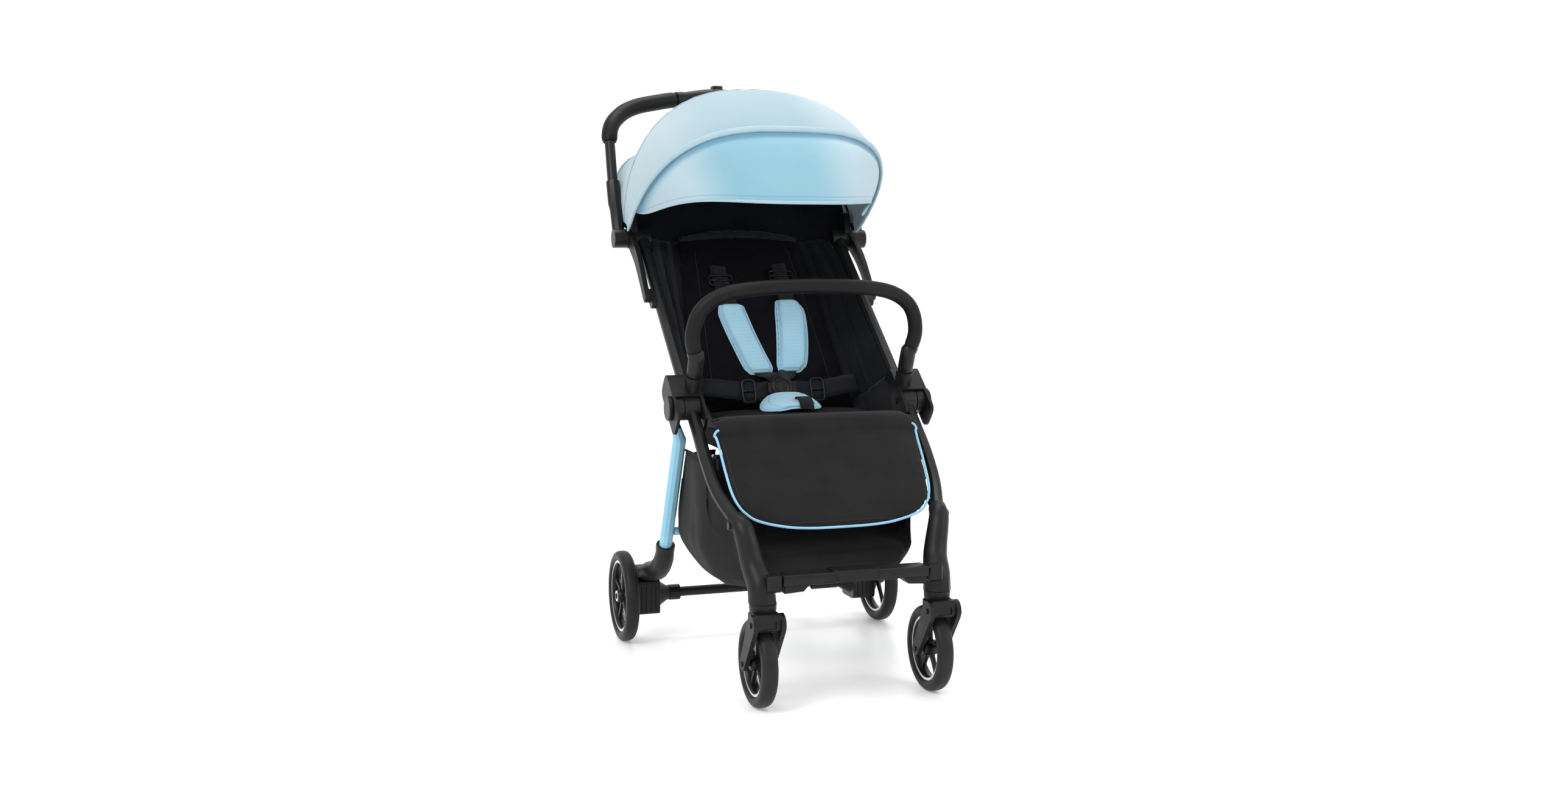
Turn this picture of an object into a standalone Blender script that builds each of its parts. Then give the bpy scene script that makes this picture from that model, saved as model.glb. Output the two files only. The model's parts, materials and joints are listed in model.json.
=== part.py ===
"""Lightweight stroller with a one-hand fold, bumper bar, canopy, calf rest and shopping basket.

Units are metres and +Z is up. +X runs across the stroller, -Y is the front, and left is the -X side.
Lengths along Y are given from the front axle line; the empty called stroller centres the whole part.
"""

import math

import bmesh
import bpy
from mathutils import Matrix, Vector

# Clearances
FIT_GAP = 0.0004        # between a tube and its socket, or two faces that meet
RUN_GAP = 0.0006        # between pieces that turn on each other
SIDES = 10              # facets round a tube

# Wheels
FRONT_WHEEL_RADIUS = 0.070
FRONT_WHEEL_WIDTH = 0.027
FRONT_TRACK = 0.295
REAR_WHEEL_RADIUS = 0.0825
REAR_WHEEL_WIDTH = 0.025
REAR_TRACK = 0.502
WHEELBASE = 0.482
TYRE_DEPTH = 0.017
RIM_WALL = 0.006
SPOKES = 5
SPOKE_WIDTH = 0.0075
WHEEL_HUB_RADIUS = 0.0125
AXLE_PIN_RADIUS = 0.004

# Side hubs, where the main tubes, front legs and rear legs meet
HUB_Y = 0.218
HUB_Z = 0.453
MAIN_TUBE_PITCH = math.radians(40.1)
HUB_INNER_X = 0.1765
HUB_OUTER_X = 0.2290
HUB_CHEEK = 0.0050
HUB_BELOW = 0.044
HUB_ABOVE = 0.062
HUB_HALF_DEPTH = 0.0245
HUB_CAP_RADIUS = 0.0210
HUB_CAP_THICKNESS = 0.0065
HUB_PIN_RADIUS = 0.0055
DRUM_RADIUS = 0.0205
DRUM_LAYER = 0.0145             # width of the rear leg's drum inside the hub
SOCKET_DEPTH = 0.016

# Tubes
MAIN_TUBE_X = 0.194
MAIN_TUBE_RADIUS = 0.01075
REAR_LEG_X = 0.2066
REAR_LEG_RADIUS = 0.0115
REAR_LEG_PITCH = math.radians(63.5)
REAR_LEG_LENGTH = 0.305
HANDLE_TUBE_RADIUS = 0.0095
HANDLE_X = 0.2363
GRIP_RADIUS = 0.0150
KNUCKLE_DISTANCE = 0.440
KNUCKLE_RADIUS = 0.0185
ARM_BOTTOM = 0.275              # distance of the outer arm's foot from the hub
ARM_STANDOFF = 0.0070
ARM_THICKNESS = 0.0090
ARM_WIDTHS = (0.0135, 0.0135, 0.0132, 0.0128, 0.0122, 0.0112, 0.0100, 0.0092, 0.0085)
PIVOT_PIN_RADIUS = 0.0050
PIVOT_PIN_LENGTH = 0.0120
PATH_STEPS = 2                  # points made for each given point of a bent handle or bumper
GRIP_FROM = 5                   # handle path points where each grip begins and ends
GRIP_TO = 14
GRIP_EDGE = 0.0015
# The handle's bends from the knuckle up: how far in from HANDLE_X, then back and up from the knuckle
HANDLE_BENDS = ((0.0, 0.0200, 0.0450), (0.0, 0.0342, 0.0646), (0.0006, 0.0664, 0.1512),
                (0.0050, 0.0894, 0.2046), (0.0297, 0.1144, 0.2346), (0.0643, 0.1324, 0.2526),
                (0.1103, 0.1454, 0.2636), (0.1513, 0.1554, 0.2706))
HANDLE_BACK = 0.164
HANDLE_RISE = 0.277
UNIT_SWELL = 0.004
LOCK_HALF = 0.0100
LOCK_TRAVEL = 0.0090
BUTTON_HALF = (0.0135, 0.0065)
BUTTON_TRAVEL = 0.0045

# Front casting and caster
CASTER_Y = -0.025
CASTER_JOINT_Z = 0.171
CASTER_NECK_RADIUS = 0.0222
FORK_PIVOT_Y = -0.0456
FORK_PIVOT_Z = 0.1416
FORK_BARREL_RADIUS = 0.0125
FORK_EYE_RADIUS = 0.0170
FORK_FOOT_RADIUS = 0.0110
FORK_GAP = 0.0190
FORK_PLATE = 0.0075
FORK_PIN_PROUD = 0.0020
FORK_WINDOW = (0.0240, 0.0030, 0.0120)      # width, depth and height of the recess in the barrel's front
CASTING_TOP_RADIUS = 0.0148
CASTING_SCREW_RADIUS = 0.0065
STEM_RADIUS = 0.0050
STEM_LENGTH = 0.020

# Cross members
BEAM_Y = -0.034
BEAM_TOP = 0.2165
BEAM_HEIGHT = 0.0170
BEAM_DEPTH = 0.0360
BEAM_END_INSET = 0.0255         # from the caster's axis in to each end of the beam
STEP_HALF_WIDTH = 0.032
STEP_PROUD = 0.0050
CROSSBAR_Y = 0.1520
CROSSBAR_Z = 0.3715
CROSSBAR_HEIGHT = 0.0180
CROSSBAR_DEPTH = 0.0220
CROSSBAR_EAR = 0.0430           # how far each ear runs down beside the leg
BRACE_DISTANCE = 0.2548
BRACE_RADIUS = 0.0075
BEAM_BEVEL = 0.0025
BEAM_GROOVE = 0.0012            # depth of the two grooves on each half of the beam
BEAM_GROOVE_WIDTH = 0.0025
BEAM_GUSSET_DROP = 0.012
AXLE_BAR_RADIUS = 0.0090
AXLE_BAR_BITE = 0.026           # how far the bar goes into each collar
HOUSING_WIDTH = 0.0445
HOUSING_HEIGHT = 0.066
HOUSING_DEPTH = 0.062
HOUSING_RIBS = 5
HOUSING_GROOVE_WIDTH = 0.0024
HOUSING_GROOVE_DEPTH = 0.0018
WHEEL_CLEARANCE = 0.0040        # between the housing and the wheel beside it
COLLAR_LENGTH = 0.044
COLLAR_RADIUS = 0.0145
SOCKET_RADIUS = 0.0152          # the cast elbow at its mouth
SOCKET_SWELL = 0.0035
SOCKET_BITE = 0.020             # how far the rear leg goes into the elbow
PEDAL_WIDTH = 0.030

# Seat, harness and fabric
SEAT_HALF_WIDTH = 0.168
SEAT_FRONT_Y = 0.140
SEAT_BITE_Y = 0.345
SEAT_REAR_Y = 0.3385
SEAT_TOP_Z = 0.440
SEAT_EDGE_DROP = 0.016
SEAT_CROWN = 0.014
BACKREST_PITCH = math.radians(52.0)
BACKREST_START = -0.016
BACKREST_LENGTH = 0.380
BACKREST_THICKNESS = 0.016
BACKREST_TOP_HALF = 0.121
BACKREST_LOW_HALF = 0.152
BACKREST_CROWN = 0.006
FABRIC = 0.0030
FLAP_PITCH = math.radians(50.0)
FLAP_TOP_HALF = 0.1795
FLAP_LOW_HALF = 0.1600
FLAP_LENGTH = 0.182
FLAP_THICKNESS = 0.012
FLAP_TOP_Z = 0.4165
PAD_TOP_X = 0.056
PAD_LOW_X = 0.025
PAD_TOP_ALONG = 0.212
PAD_LOW_ALONG = 0.066
PAD_HALF_WIDTH = 0.0235
PAD_THICKNESS = 0.011
CROTCH_HALF_WIDTH = 0.052
CROTCH_THICKNESS = 0.010
CROTCH_LIFT = 0.016
BUCKLE_STRAP = (0.038, 0.0025)
CROTCH_FRONT_Y = 0.212
CROTCH_REAR_Y = 0.296
BUCKLE_Y = 0.313
BUCKLE_Z = 0.470
BUCKLE_SIZE = (0.052, 0.013, 0.032)
BASKET_FABRIC = 0.0030
BASKET_TOP_Z = 0.3780
BASKET_MOUTH_HALF = 0.145
BASKET_MOUTH_Y = 0.240
BASKET_MOUTH_Z = 0.262
BASKET_SAG = 0.28               # share of each edge that a corner of the cloth is rounded over
BASKET_LOW_Z = 0.157
BASKET_LOW_HALF = 0.118
BASKET_HIGH_HALF = 0.164
BASKET_SLOPE = 0.160            # height over which the basket's sides spread
BASKET_FRONT = [(0.001, 0.250), (-0.0434, 0.236), (-0.1134, 0.228), (-0.1174, 0.206)]
BASKET_FLOOR = [(0.100, 0.172), (0.190, BASKET_LOW_Z), (0.262, 0.178), (0.302, 0.212)]
BASKET_BACK = [(0.290, 0.262), (0.264, 0.318), (0.256, BASKET_TOP_Z)]

# Canopy arches turn about the line through its two tips
CANOPY_Y = 0.5635
CANOPY_Z = 0.7330
CANOPY_HALF_WIDTH = 0.2228
CANOPY_SQUARENESS = 2.5
CANOPY_REACH = 0.034            # the cloth ends this far from the tip line, on the knuckle's lug
CANOPY_LUG_SHIFT = -0.006
CANOPY_LUG_RISE = 0.040
CANOPY_LUG_RADIUS = 0.014
BOW_ANGLE = math.radians(148.0)
BOW_RADIUS = 0.345
TOP_ANGLE = math.radians(100.0)
TOP_RADIUS = 0.268
REAR_ANGLE = math.radians(54.0)
REAR_RADIUS = 0.208
HEM_TURN = math.radians(22.0)
HEM_RADIUS = 0.340
SEAM_GAP = math.radians(0.12)
ARCH_POINTS = 19

# Bumper bar
BUMPER_RADIUS = 0.0125
BUMPER_SPIGOT = 0.0075
BUMPER_FOOT_X = 0.190
BUMPER_TOP_Y = 0.155
BUMPER_TOP_Z = 0.656
BUMPER_FOOT = (0.024, 0.030)    # along the main tube from the hub, and across it
# The bumper's bends from its foot: out, forward and up
BUMPER_BENDS = ((0.009, -0.029, 0.084), (-0.004, -0.038, 0.126), (-0.040, -0.046, 0.151))
CUP_WALL = 0.0025
CUP_DEPTH = 0.050

COLOURS = {
    "black_plastic": ((0.018, 0.018, 0.019), 0.45, 0.0),
    "black_paint": ((0.022, 0.022, 0.024), 0.38, 0.2),
    "blue_paint": ((0.32, 0.63, 0.83), 0.35, 0.1),
    "tyre_foam": ((0.015, 0.015, 0.015), 0.75, 0.0),
    "grip_foam": ((0.020, 0.020, 0.020), 0.80, 0.0),
    "blue_fabric": ((0.40, 0.70, 0.90), 0.85, 0.0),
    "black_fabric": ((0.012, 0.012, 0.014), 0.90, 0.0),
    "charcoal_fabric": ((0.030, 0.030, 0.031), 0.90, 0.0),
}


def main_line(along, across=0.0):
    """A point in the side view, measured from the hub along the main tube and across it to the front."""
    y = HUB_Y + along * math.cos(MAIN_TUBE_PITCH) - across * math.sin(MAIN_TUBE_PITCH)
    z = HUB_Z + along * math.sin(MAIN_TUBE_PITCH) + across * math.cos(MAIN_TUBE_PITCH)
    return y, z


def rear_line(along):
    return HUB_Y + along * math.cos(REAR_LEG_PITCH), HUB_Z - along * math.sin(REAR_LEG_PITCH)


def seat_back_line(along, out=0.0):
    """A point on the backrest: along it from the seat bite, and out of its front face."""
    y = SEAT_BITE_Y + along * math.cos(BACKREST_PITCH) - out * math.sin(BACKREST_PITCH)
    z = SEAT_TOP_Z + along * math.sin(BACKREST_PITCH) + out * math.cos(BACKREST_PITCH)
    return y, z


KNUCKLE_Y, KNUCKLE_Z = main_line(KNUCKLE_DISTANCE)
HANDLE_TOP_Y = KNUCKLE_Y + HANDLE_BACK
HANDLE_TOP_Z = KNUCKLE_Z + HANDLE_RISE
UNIT_RADIUS = GRIP_RADIUS + UNIT_SWELL
BEAM_HALF_SPAN = FRONT_TRACK / 2 - BEAM_END_INSET
HOUSING_OUTER_X = REAR_TRACK / 2 - REAR_WHEEL_WIDTH / 2 - WHEEL_CLEARANCE
HOUSING_INNER_X = HOUSING_OUTER_X - HOUSING_WIDTH
HOUSING_MIDDLE_X = (HOUSING_OUTER_X + HOUSING_INNER_X) / 2
COLLAR_INNER_X = HOUSING_INNER_X - COLLAR_LENGTH
AXLE_BAR_REACH = COLLAR_INNER_X + AXLE_BAR_BITE
ARM_INNER_X = MAIN_TUBE_X + MAIN_TUBE_RADIUS + ARM_STANDOFF
ARM_OUTER_X = ARM_INNER_X + ARM_THICKNESS
FLAP_TOP_Y = SEAT_FRONT_Y - FLAP_THICKNESS * math.sin(FLAP_PITCH) - FIT_GAP
FLAP_HINGE_Z = FLAP_TOP_Z - FLAP_THICKNESS * math.cos(FLAP_PITCH)
BUMPER_HEADING = Vector((0.0, -0.388, 0.922))
RECLINE_Y, RECLINE_Z = seat_back_line(BACKREST_START, -BACKREST_THICKNESS)
ORIGIN_Y = -(HANDLE_TOP_Y + UNIT_RADIUS - FRONT_WHEEL_RADIUS) / 2


def clear_scene():
    for thing in list(bpy.data.objects):
        bpy.data.objects.remove(thing, do_unlink=True)


def make_material(name):
    colour, roughness, metallic = COLOURS[name]
    made = bpy.data.materials.new(name)
    made.use_nodes = True
    shader = made.node_tree.nodes["Principled BSDF"]
    shader.inputs["Base Color"].default_value = (*colour, 1.0)
    shader.inputs["Roughness"].default_value = roughness
    shader.inputs["Metallic"].default_value = metallic
    return made


def face_outward(mesh):
    bmesh.ops.recalc_face_normals(mesh, faces=mesh.faces)
    return mesh


def loft(rings, closed=False):
    """Skin between rings of points, capped at its two ends unless it closes on itself."""
    mesh = bmesh.new()
    rows = [[mesh.verts.new(p) for p in ring] for ring in rings]
    count = len(rows[0])
    pairs = list(zip(rows, rows[1:]))
    if closed:
        pairs.append((rows[-1], rows[0]))
    for lower, upper in pairs:
        for i in range(count):
            j = (i + 1) % count
            mesh.faces.new((lower[i], lower[j], upper[j], upper[i]))
    if not closed:
        mesh.faces.new(list(reversed(rows[0])))
        mesh.faces.new(rows[-1])
    return face_outward(mesh)


def path_frames(path):
    """A centre and two cross directions at each point of a path, carried along it without twist."""
    tangents = []
    for i, point in enumerate(path):
        before = path[max(i - 1, 0)]
        after = path[min(i + 1, len(path) - 1)]
        tangents.append((after - before).normalized())
    side = tangents[0].orthogonal().normalized()
    frames = []
    for point, tangent in zip(path, tangents):
        side = (side - tangent * side.dot(tangent)).normalized()
        frames.append((point, side, tangent.cross(side)))
    return frames


def ring_round(centre, side, up, half_side, half_up, count=SIDES, power=2.0):
    ring = []
    for i in range(count):
        angle = math.tau * i / count
        c, s = math.cos(angle), math.sin(angle)
        a = math.copysign(abs(c) ** (2 / power), c) * half_side
        b = math.copysign(abs(s) ** (2 / power), s) * half_up
        ring.append(centre + side * a + up * b)
    return ring


def tube(path, radius, count=SIDES):
    """A round bar along a path; radius is one value or one for each point."""
    radii = radius if isinstance(radius, (list, tuple)) else [radius] * len(path)
    frames = path_frames(path)
    return loft([ring_round(p, a, b, r, r, count) for (p, a, b), r in zip(frames, radii)])


def turned(profile, start, axis, steps=28, closed=False):
    """A profile of (distance along the axis, radius) turned about an axis; closed for a ring."""
    axis = axis.normalized()
    side = axis.orthogonal().normalized()
    up = axis.cross(side)
    mesh = bmesh.new()
    rows = []
    for along, radius in profile:
        centre = start + axis * along
        rows.append([mesh.verts.new(p) for p in ring_round(centre, side, up, radius, radius, steps)])
    pairs = list(zip(rows, rows[1:]))
    if closed:
        pairs.append((rows[-1], rows[0]))
    for lower, upper in pairs:
        for i in range(steps):
            j = (i + 1) % steps
            mesh.faces.new((lower[i], lower[j], upper[j], upper[i]))
    if not closed:
        mesh.faces.new(list(reversed(rows[0])))
        mesh.faces.new(rows[-1])
    return face_outward(mesh)


def plate(outline, x_low, x_high):
    """An outline of (y, z) points given thickness along X."""
    low = [Vector((x_low, y, z)) for y, z in outline]
    high = [Vector((x_high, y, z)) for y, z in outline]
    return loft([low, high])


def block(low, high, bevel=0.0, segments=2):
    """A box between two corners, with its edges rounded."""
    mesh = bmesh.new()
    bmesh.ops.create_cube(mesh, size=1.0)
    low, high = Vector(low), Vector(high)
    for vert in mesh.verts:
        for k in range(3):
            vert.co[k] = low[k] + (vert.co[k] + 0.5) * (high[k] - low[k])
    if bevel:
        bmesh.ops.bevel(mesh, geom=mesh.edges[:], offset=bevel, segments=segments, profile=0.5,
                        affect="EDGES")
    return face_outward(mesh)


def stadium(start, end, start_radius, end_radius, steps=6):
    """The outline round two circles in the side view, as for a link or a fork plate."""
    start, end = Vector(start), Vector(end)
    heading = math.atan2(end.y - start.y, end.x - start.x)
    lean = math.asin((start_radius - end_radius) / (end - start).length)
    points = []
    for i in range(steps + 1):
        angle = heading + math.pi / 2 - lean + (math.pi + 2 * lean) * i / steps
        points.append((start.x + start_radius * math.cos(angle), start.y + start_radius * math.sin(angle)))
    for i in range(steps + 1):
        angle = heading - math.pi / 2 + lean + (math.pi - 2 * lean) * i / steps
        points.append((end.x + end_radius * math.cos(angle), end.y + end_radius * math.sin(angle)))
    return points


def rounded_outline(corners, radius, steps=3):
    """A polygon in the side view with each corner rounded."""
    points = []
    count = len(corners)
    for i in range(count):
        here = Vector(corners[i])
        before = (Vector(corners[i - 1]) - here)
        after = (Vector(corners[(i + 1) % count]) - here)
        reach = min(radius, before.length * 0.45, after.length * 0.45)
        start = here + before.normalized() * reach
        end = here + after.normalized() * reach
        for k in range(steps + 1):
            t = k / steps
            point = start * (1 - t) ** 2 + here * 2 * t * (1 - t) + end * t ** 2
            points.append((point.x, point.y))
    return points


def sheet(grid, thickness):
    """A closed thin solid from a grid of points, thickened behind its surface."""
    rows, columns = len(grid), len(grid[0])
    normals = []
    for i in range(rows):
        row = []
        for j in range(columns):
            across = grid[i][min(j + 1, columns - 1)] - grid[i][max(j - 1, 0)]
            down = grid[min(i + 1, rows - 1)][j] - grid[max(i - 1, 0)][j]
            row.append(across.cross(down).normalized())
        normals.append(row)
    mesh = bmesh.new()
    front = [[mesh.verts.new(grid[i][j]) for j in range(columns)] for i in range(rows)]
    back = [[mesh.verts.new(grid[i][j] - normals[i][j] * thickness) for j in range(columns)]
            for i in range(rows)]
    for i in range(rows - 1):
        for j in range(columns - 1):
            mesh.faces.new((front[i][j], front[i][j + 1], front[i + 1][j + 1], front[i + 1][j]))
            mesh.faces.new((back[i][j], back[i + 1][j], back[i + 1][j + 1], back[i][j + 1]))
    rim = [(0, j) for j in range(columns)]
    rim += [(i, columns - 1) for i in range(1, rows)]
    rim += [(rows - 1, j) for j in range(columns - 2, -1, -1)]
    rim += [(i, 0) for i in range(rows - 2, 0, -1)]
    for (a, b), (c, d) in zip(rim, rim[1:] + rim[:1]):
        mesh.faces.new((front[a][b], back[a][b], back[c][d], front[c][d]))
    return face_outward(mesh)


def smooth_path(points, steps=6):
    """A smooth curve through a few points, for bent tubes."""
    ends = [points[0] * 2 - points[1], *points, points[-1] * 2 - points[-2]]
    path = []
    for i in range(1, len(ends) - 2):
        p0, p1, p2, p3 = ends[i - 1:i + 3]
        for k in range(steps):
            t = k / steps
            path.append(0.5 * (2 * p1 + (p2 - p0) * t + (2 * p0 - 5 * p1 + 4 * p2 - p3) * t ** 2
                               + (3 * p1 - p0 - 3 * p2 + p3) * t ** 3))
    path.append(points[-1].copy())
    return path


def place(name, solid, material, pivot=(0.0, 0.0, 0.0), smooth=40.0):
    """Make a node from a solid, with its origin at its pivot."""
    pivot = Vector(pivot)
    solid.transform(Matrix.Translation(-pivot))
    data = bpy.data.meshes.new(name)
    solid.to_mesh(data)
    solid.free()
    data.shade_smooth()
    data.set_sharp_from_angle(angle=math.radians(smooth))
    data.materials.append(MATERIALS[material])
    node = bpy.data.objects.new(name, data)
    node.location = pivot
    node.parent = STROLLER
    bpy.context.scene.collection.objects.link(node)
    return node


def helper(solid):
    data = bpy.data.meshes.new("helper")
    solid.to_mesh(data)
    solid.free()
    made = bpy.data.objects.new("helper", data)
    bpy.context.scene.collection.objects.link(made)
    return made


def combine(solids, cutters=()):
    """Weld solids into one body, then cut the cutters out of it."""
    base = helper(solids[0])
    steps = [(s, "UNION") for s in solids[1:]] + [(c, "DIFFERENCE") for c in cutters]
    for solid, operation in steps:
        other = helper(solid)
        change = base.modifiers.new("join", "BOOLEAN")
        change.operation = operation
        change.object = other
        bpy.context.view_layer.update()
        seen = base.evaluated_get(bpy.context.evaluated_depsgraph_get())
        data = bpy.data.meshes.new_from_object(seen)
        base.modifiers.clear()
        base.data = data
        bpy.data.objects.remove(other, do_unlink=True)
    result = bmesh.new()
    result.from_mesh(base.data)
    bpy.data.objects.remove(base, do_unlink=True)
    bmesh.ops.remove_doubles(result, verts=result.verts, dist=0.000001)
    return result


def straight(start, end):
    return [Vector(start), Vector(end)]


def drum(side, x_low, x_high, y, z, radius, steps=18):
    """A short cylinder across the stroller."""
    start = Vector((side * x_low, y, z))
    return turned([(0.0, radius), (x_high - x_low, radius)], start, Vector((side, 0, 0)), steps)


def side_name(side):
    return "left" if side < 0 else "right"


# Front frame


def front_leg_path(side):
    top = main_line(-DRUM_RADIUS * 0.6)
    points = [
        Vector((side * MAIN_TUBE_X, *top)),
        Vector((side * MAIN_TUBE_X, *main_line(-0.060))),
        Vector((side * MAIN_TUBE_X, *main_line(-0.120, -0.002))),
        Vector((side * (MAIN_TUBE_X - 0.005), *main_line(-0.185, -0.006))),
        Vector((side * (MAIN_TUBE_X - 0.020), *main_line(-0.243, -0.004))),
        Vector((side * (MAIN_TUBE_X - 0.027), *main_line(-0.268, 0.000))),
    ]
    return smooth_path(points, 3)


def casting_path(side):
    leg = front_leg_path(side)
    mouth = leg[-4]
    track = FRONT_TRACK / 2
    points = [
        mouth,
        leg[-1],
        Vector((side * (track + 0.008), CASTER_Y + 0.026, CASTER_JOINT_Z + 0.056)),
        Vector((side * (track + 0.002), CASTER_Y + 0.006, CASTER_JOINT_Z + 0.028)),
        Vector((side * track, CASTER_Y, CASTER_JOINT_Z)),
    ]
    return smooth_path(points, 3)


def make_front_leg(side):
    layer_end = HUB_OUTER_X - HUB_CHEEK - DRUM_LAYER - RUN_GAP
    head = drum(side, HUB_INNER_X + HUB_CHEEK + RUN_GAP, layer_end, HUB_Y, HUB_Z, DRUM_RADIUS)
    hole = drum(side, HUB_INNER_X, HUB_OUTER_X, HUB_Y, HUB_Z, HUB_PIN_RADIUS + RUN_GAP, 16)
    leg = combine([tube(front_leg_path(side), MAIN_TUBE_RADIUS), head], [hole])
    place(f"front_leg_{side_name(side)}", leg, "black_paint")


def make_leg_casting(side):
    """The moulded foot that swells from the leg tube down to the caster, with the lug for the beam."""
    path = casting_path(side)
    count = len(path)
    grown = []
    for i in range(count):
        t = i / (count - 1)
        swell = math.sin(t * math.pi / 2) ** 1.5
        grown.append(CASTING_TOP_RADIUS + (CASTER_NECK_RADIUS - CASTING_TOP_RADIUS) * swell)
    body = tube(path, grown, 12)
    foot = [v for v in body.verts if (v.co - path[-1]).length < grown[-1] + 0.002]
    for vert in foot:
        vert.co.z = CASTER_JOINT_Z
    beam_bottom = BEAM_TOP - BEAM_HEIGHT
    lug = block((BEAM_HALF_SPAN + FIT_GAP, BEAM_Y - BEAM_DEPTH / 2 + 0.002, beam_bottom - 0.009),
                (FRONT_TRACK / 2, BEAM_Y + BEAM_DEPTH / 2 - 0.002, BEAM_TOP), 0.003, 1)
    if side < 0:
        bmesh.ops.scale(lug, vec=(-1, 1, 1), verts=lug.verts)
        face_outward(lug)
    leg = front_leg_path(side)
    socket = tube(leg[len(leg) - 7:], MAIN_TUBE_RADIUS + FIT_GAP)
    under = 0.004
    stem = tube(straight((side * FRONT_TRACK / 2, CASTER_Y, CASTER_JOINT_Z - under),
                         (side * FRONT_TRACK / 2, CASTER_Y, CASTER_JOINT_Z + STEM_LENGTH + RUN_GAP)),
                STEM_RADIUS + RUN_GAP, 12)
    wall_x = leg[-3].x * side + MAIN_TUBE_RADIUS
    screw = drum(side, wall_x + FIT_GAP + 0.001, wall_x + CASTING_SCREW_RADIUS, leg[-3].y, leg[-3].z - 0.002,
                 CASTING_SCREW_RADIUS, 12)
    casting = combine([body, lug, screw], [socket, stem])
    place(f"leg_casting_{side_name(side)}", casting, "black_plastic")


def make_front_beam():
    """The footrest beam, with a chamfered centre block, two grooves and a gusset under each end."""
    front, back = BEAM_Y - BEAM_DEPTH / 2, BEAM_Y + BEAM_DEPTH / 2
    bottom = BEAM_TOP - BEAM_HEIGHT
    bar = block((-BEAM_HALF_SPAN, front, bottom), (BEAM_HALF_SPAN, back, BEAM_TOP), BEAM_BEVEL)
    step = [(-STEP_HALF_WIDTH - 0.008, front + 0.004), (-STEP_HALF_WIDTH, front - STEP_PROUD),
            (STEP_HALF_WIDTH, front - STEP_PROUD), (STEP_HALF_WIDTH + 0.008, front + 0.004),
            (STEP_HALF_WIDTH + 0.008, back - 0.006), (-STEP_HALF_WIDTH - 0.008, back - 0.006)]
    low = [Vector((x, y, bottom + 0.0015)) for x, y in step]
    high = [Vector((x, y, BEAM_TOP + 0.0030)) for x, y in step]
    pads = [loft([low, high])]
    for end in (-1, 1):
        gusset = [(BEAM_HALF_SPAN - 0.003, bottom - BEAM_GUSSET_DROP),
                  (BEAM_HALF_SPAN - 0.034, bottom - BEAM_GUSSET_DROP + 0.002),
                  (BEAM_HALF_SPAN - 0.048, bottom + 0.004), (BEAM_HALF_SPAN - 0.003, bottom + 0.004)]
        near = [Vector((end * x, front + 0.004, z)) for x, z in gusset]
        far = [Vector((end * x, back - 0.004, z)) for x, z in gusset]
        pads.append(loft([near, far]))
    grooves = []
    for y in (BEAM_Y - 0.002, BEAM_Y + 0.006):
        for low_x, high_x in ((-BEAM_HALF_SPAN, -STEP_HALF_WIDTH), (STEP_HALF_WIDTH, BEAM_HALF_SPAN)):
            grooves.append(block((low_x + 0.012, y, BEAM_TOP - BEAM_GROOVE),
                                 (high_x - 0.012, y + BEAM_GROOVE_WIDTH, BEAM_TOP + 0.001)))
    place("front_beam", combine([bar] + pads, grooves), "black_plastic", smooth=25)


def crossbar_half_span():
    return MAIN_TUBE_X - MAIN_TUBE_RADIUS - FIT_GAP


def make_seat_crossbar():
    reach = crossbar_half_span()
    bar = block((-reach + 0.0020, CROSSBAR_Y - CROSSBAR_DEPTH / 2, CROSSBAR_Z - CROSSBAR_HEIGHT / 2),
                (reach - 0.0020, CROSSBAR_Y + CROSSBAR_DEPTH / 2, CROSSBAR_Z + CROSSBAR_HEIGHT / 2), 0.003)
    ears = []
    for side in (-1, 1):
        x = sorted((side * (reach - 0.0005), side * (reach - 0.0050)))
        ears.append(block((x[0], CROSSBAR_Y - CROSSBAR_EAR, CROSSBAR_Z - CROSSBAR_HEIGHT / 2 + 0.001),
                          (x[1], CROSSBAR_Y + 0.004, CROSSBAR_Z + CROSSBAR_HEIGHT / 2 - 0.001)))
    place("seat_crossbar", combine([bar] + ears), "black_plastic")


# Hubs and upper frame


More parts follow.
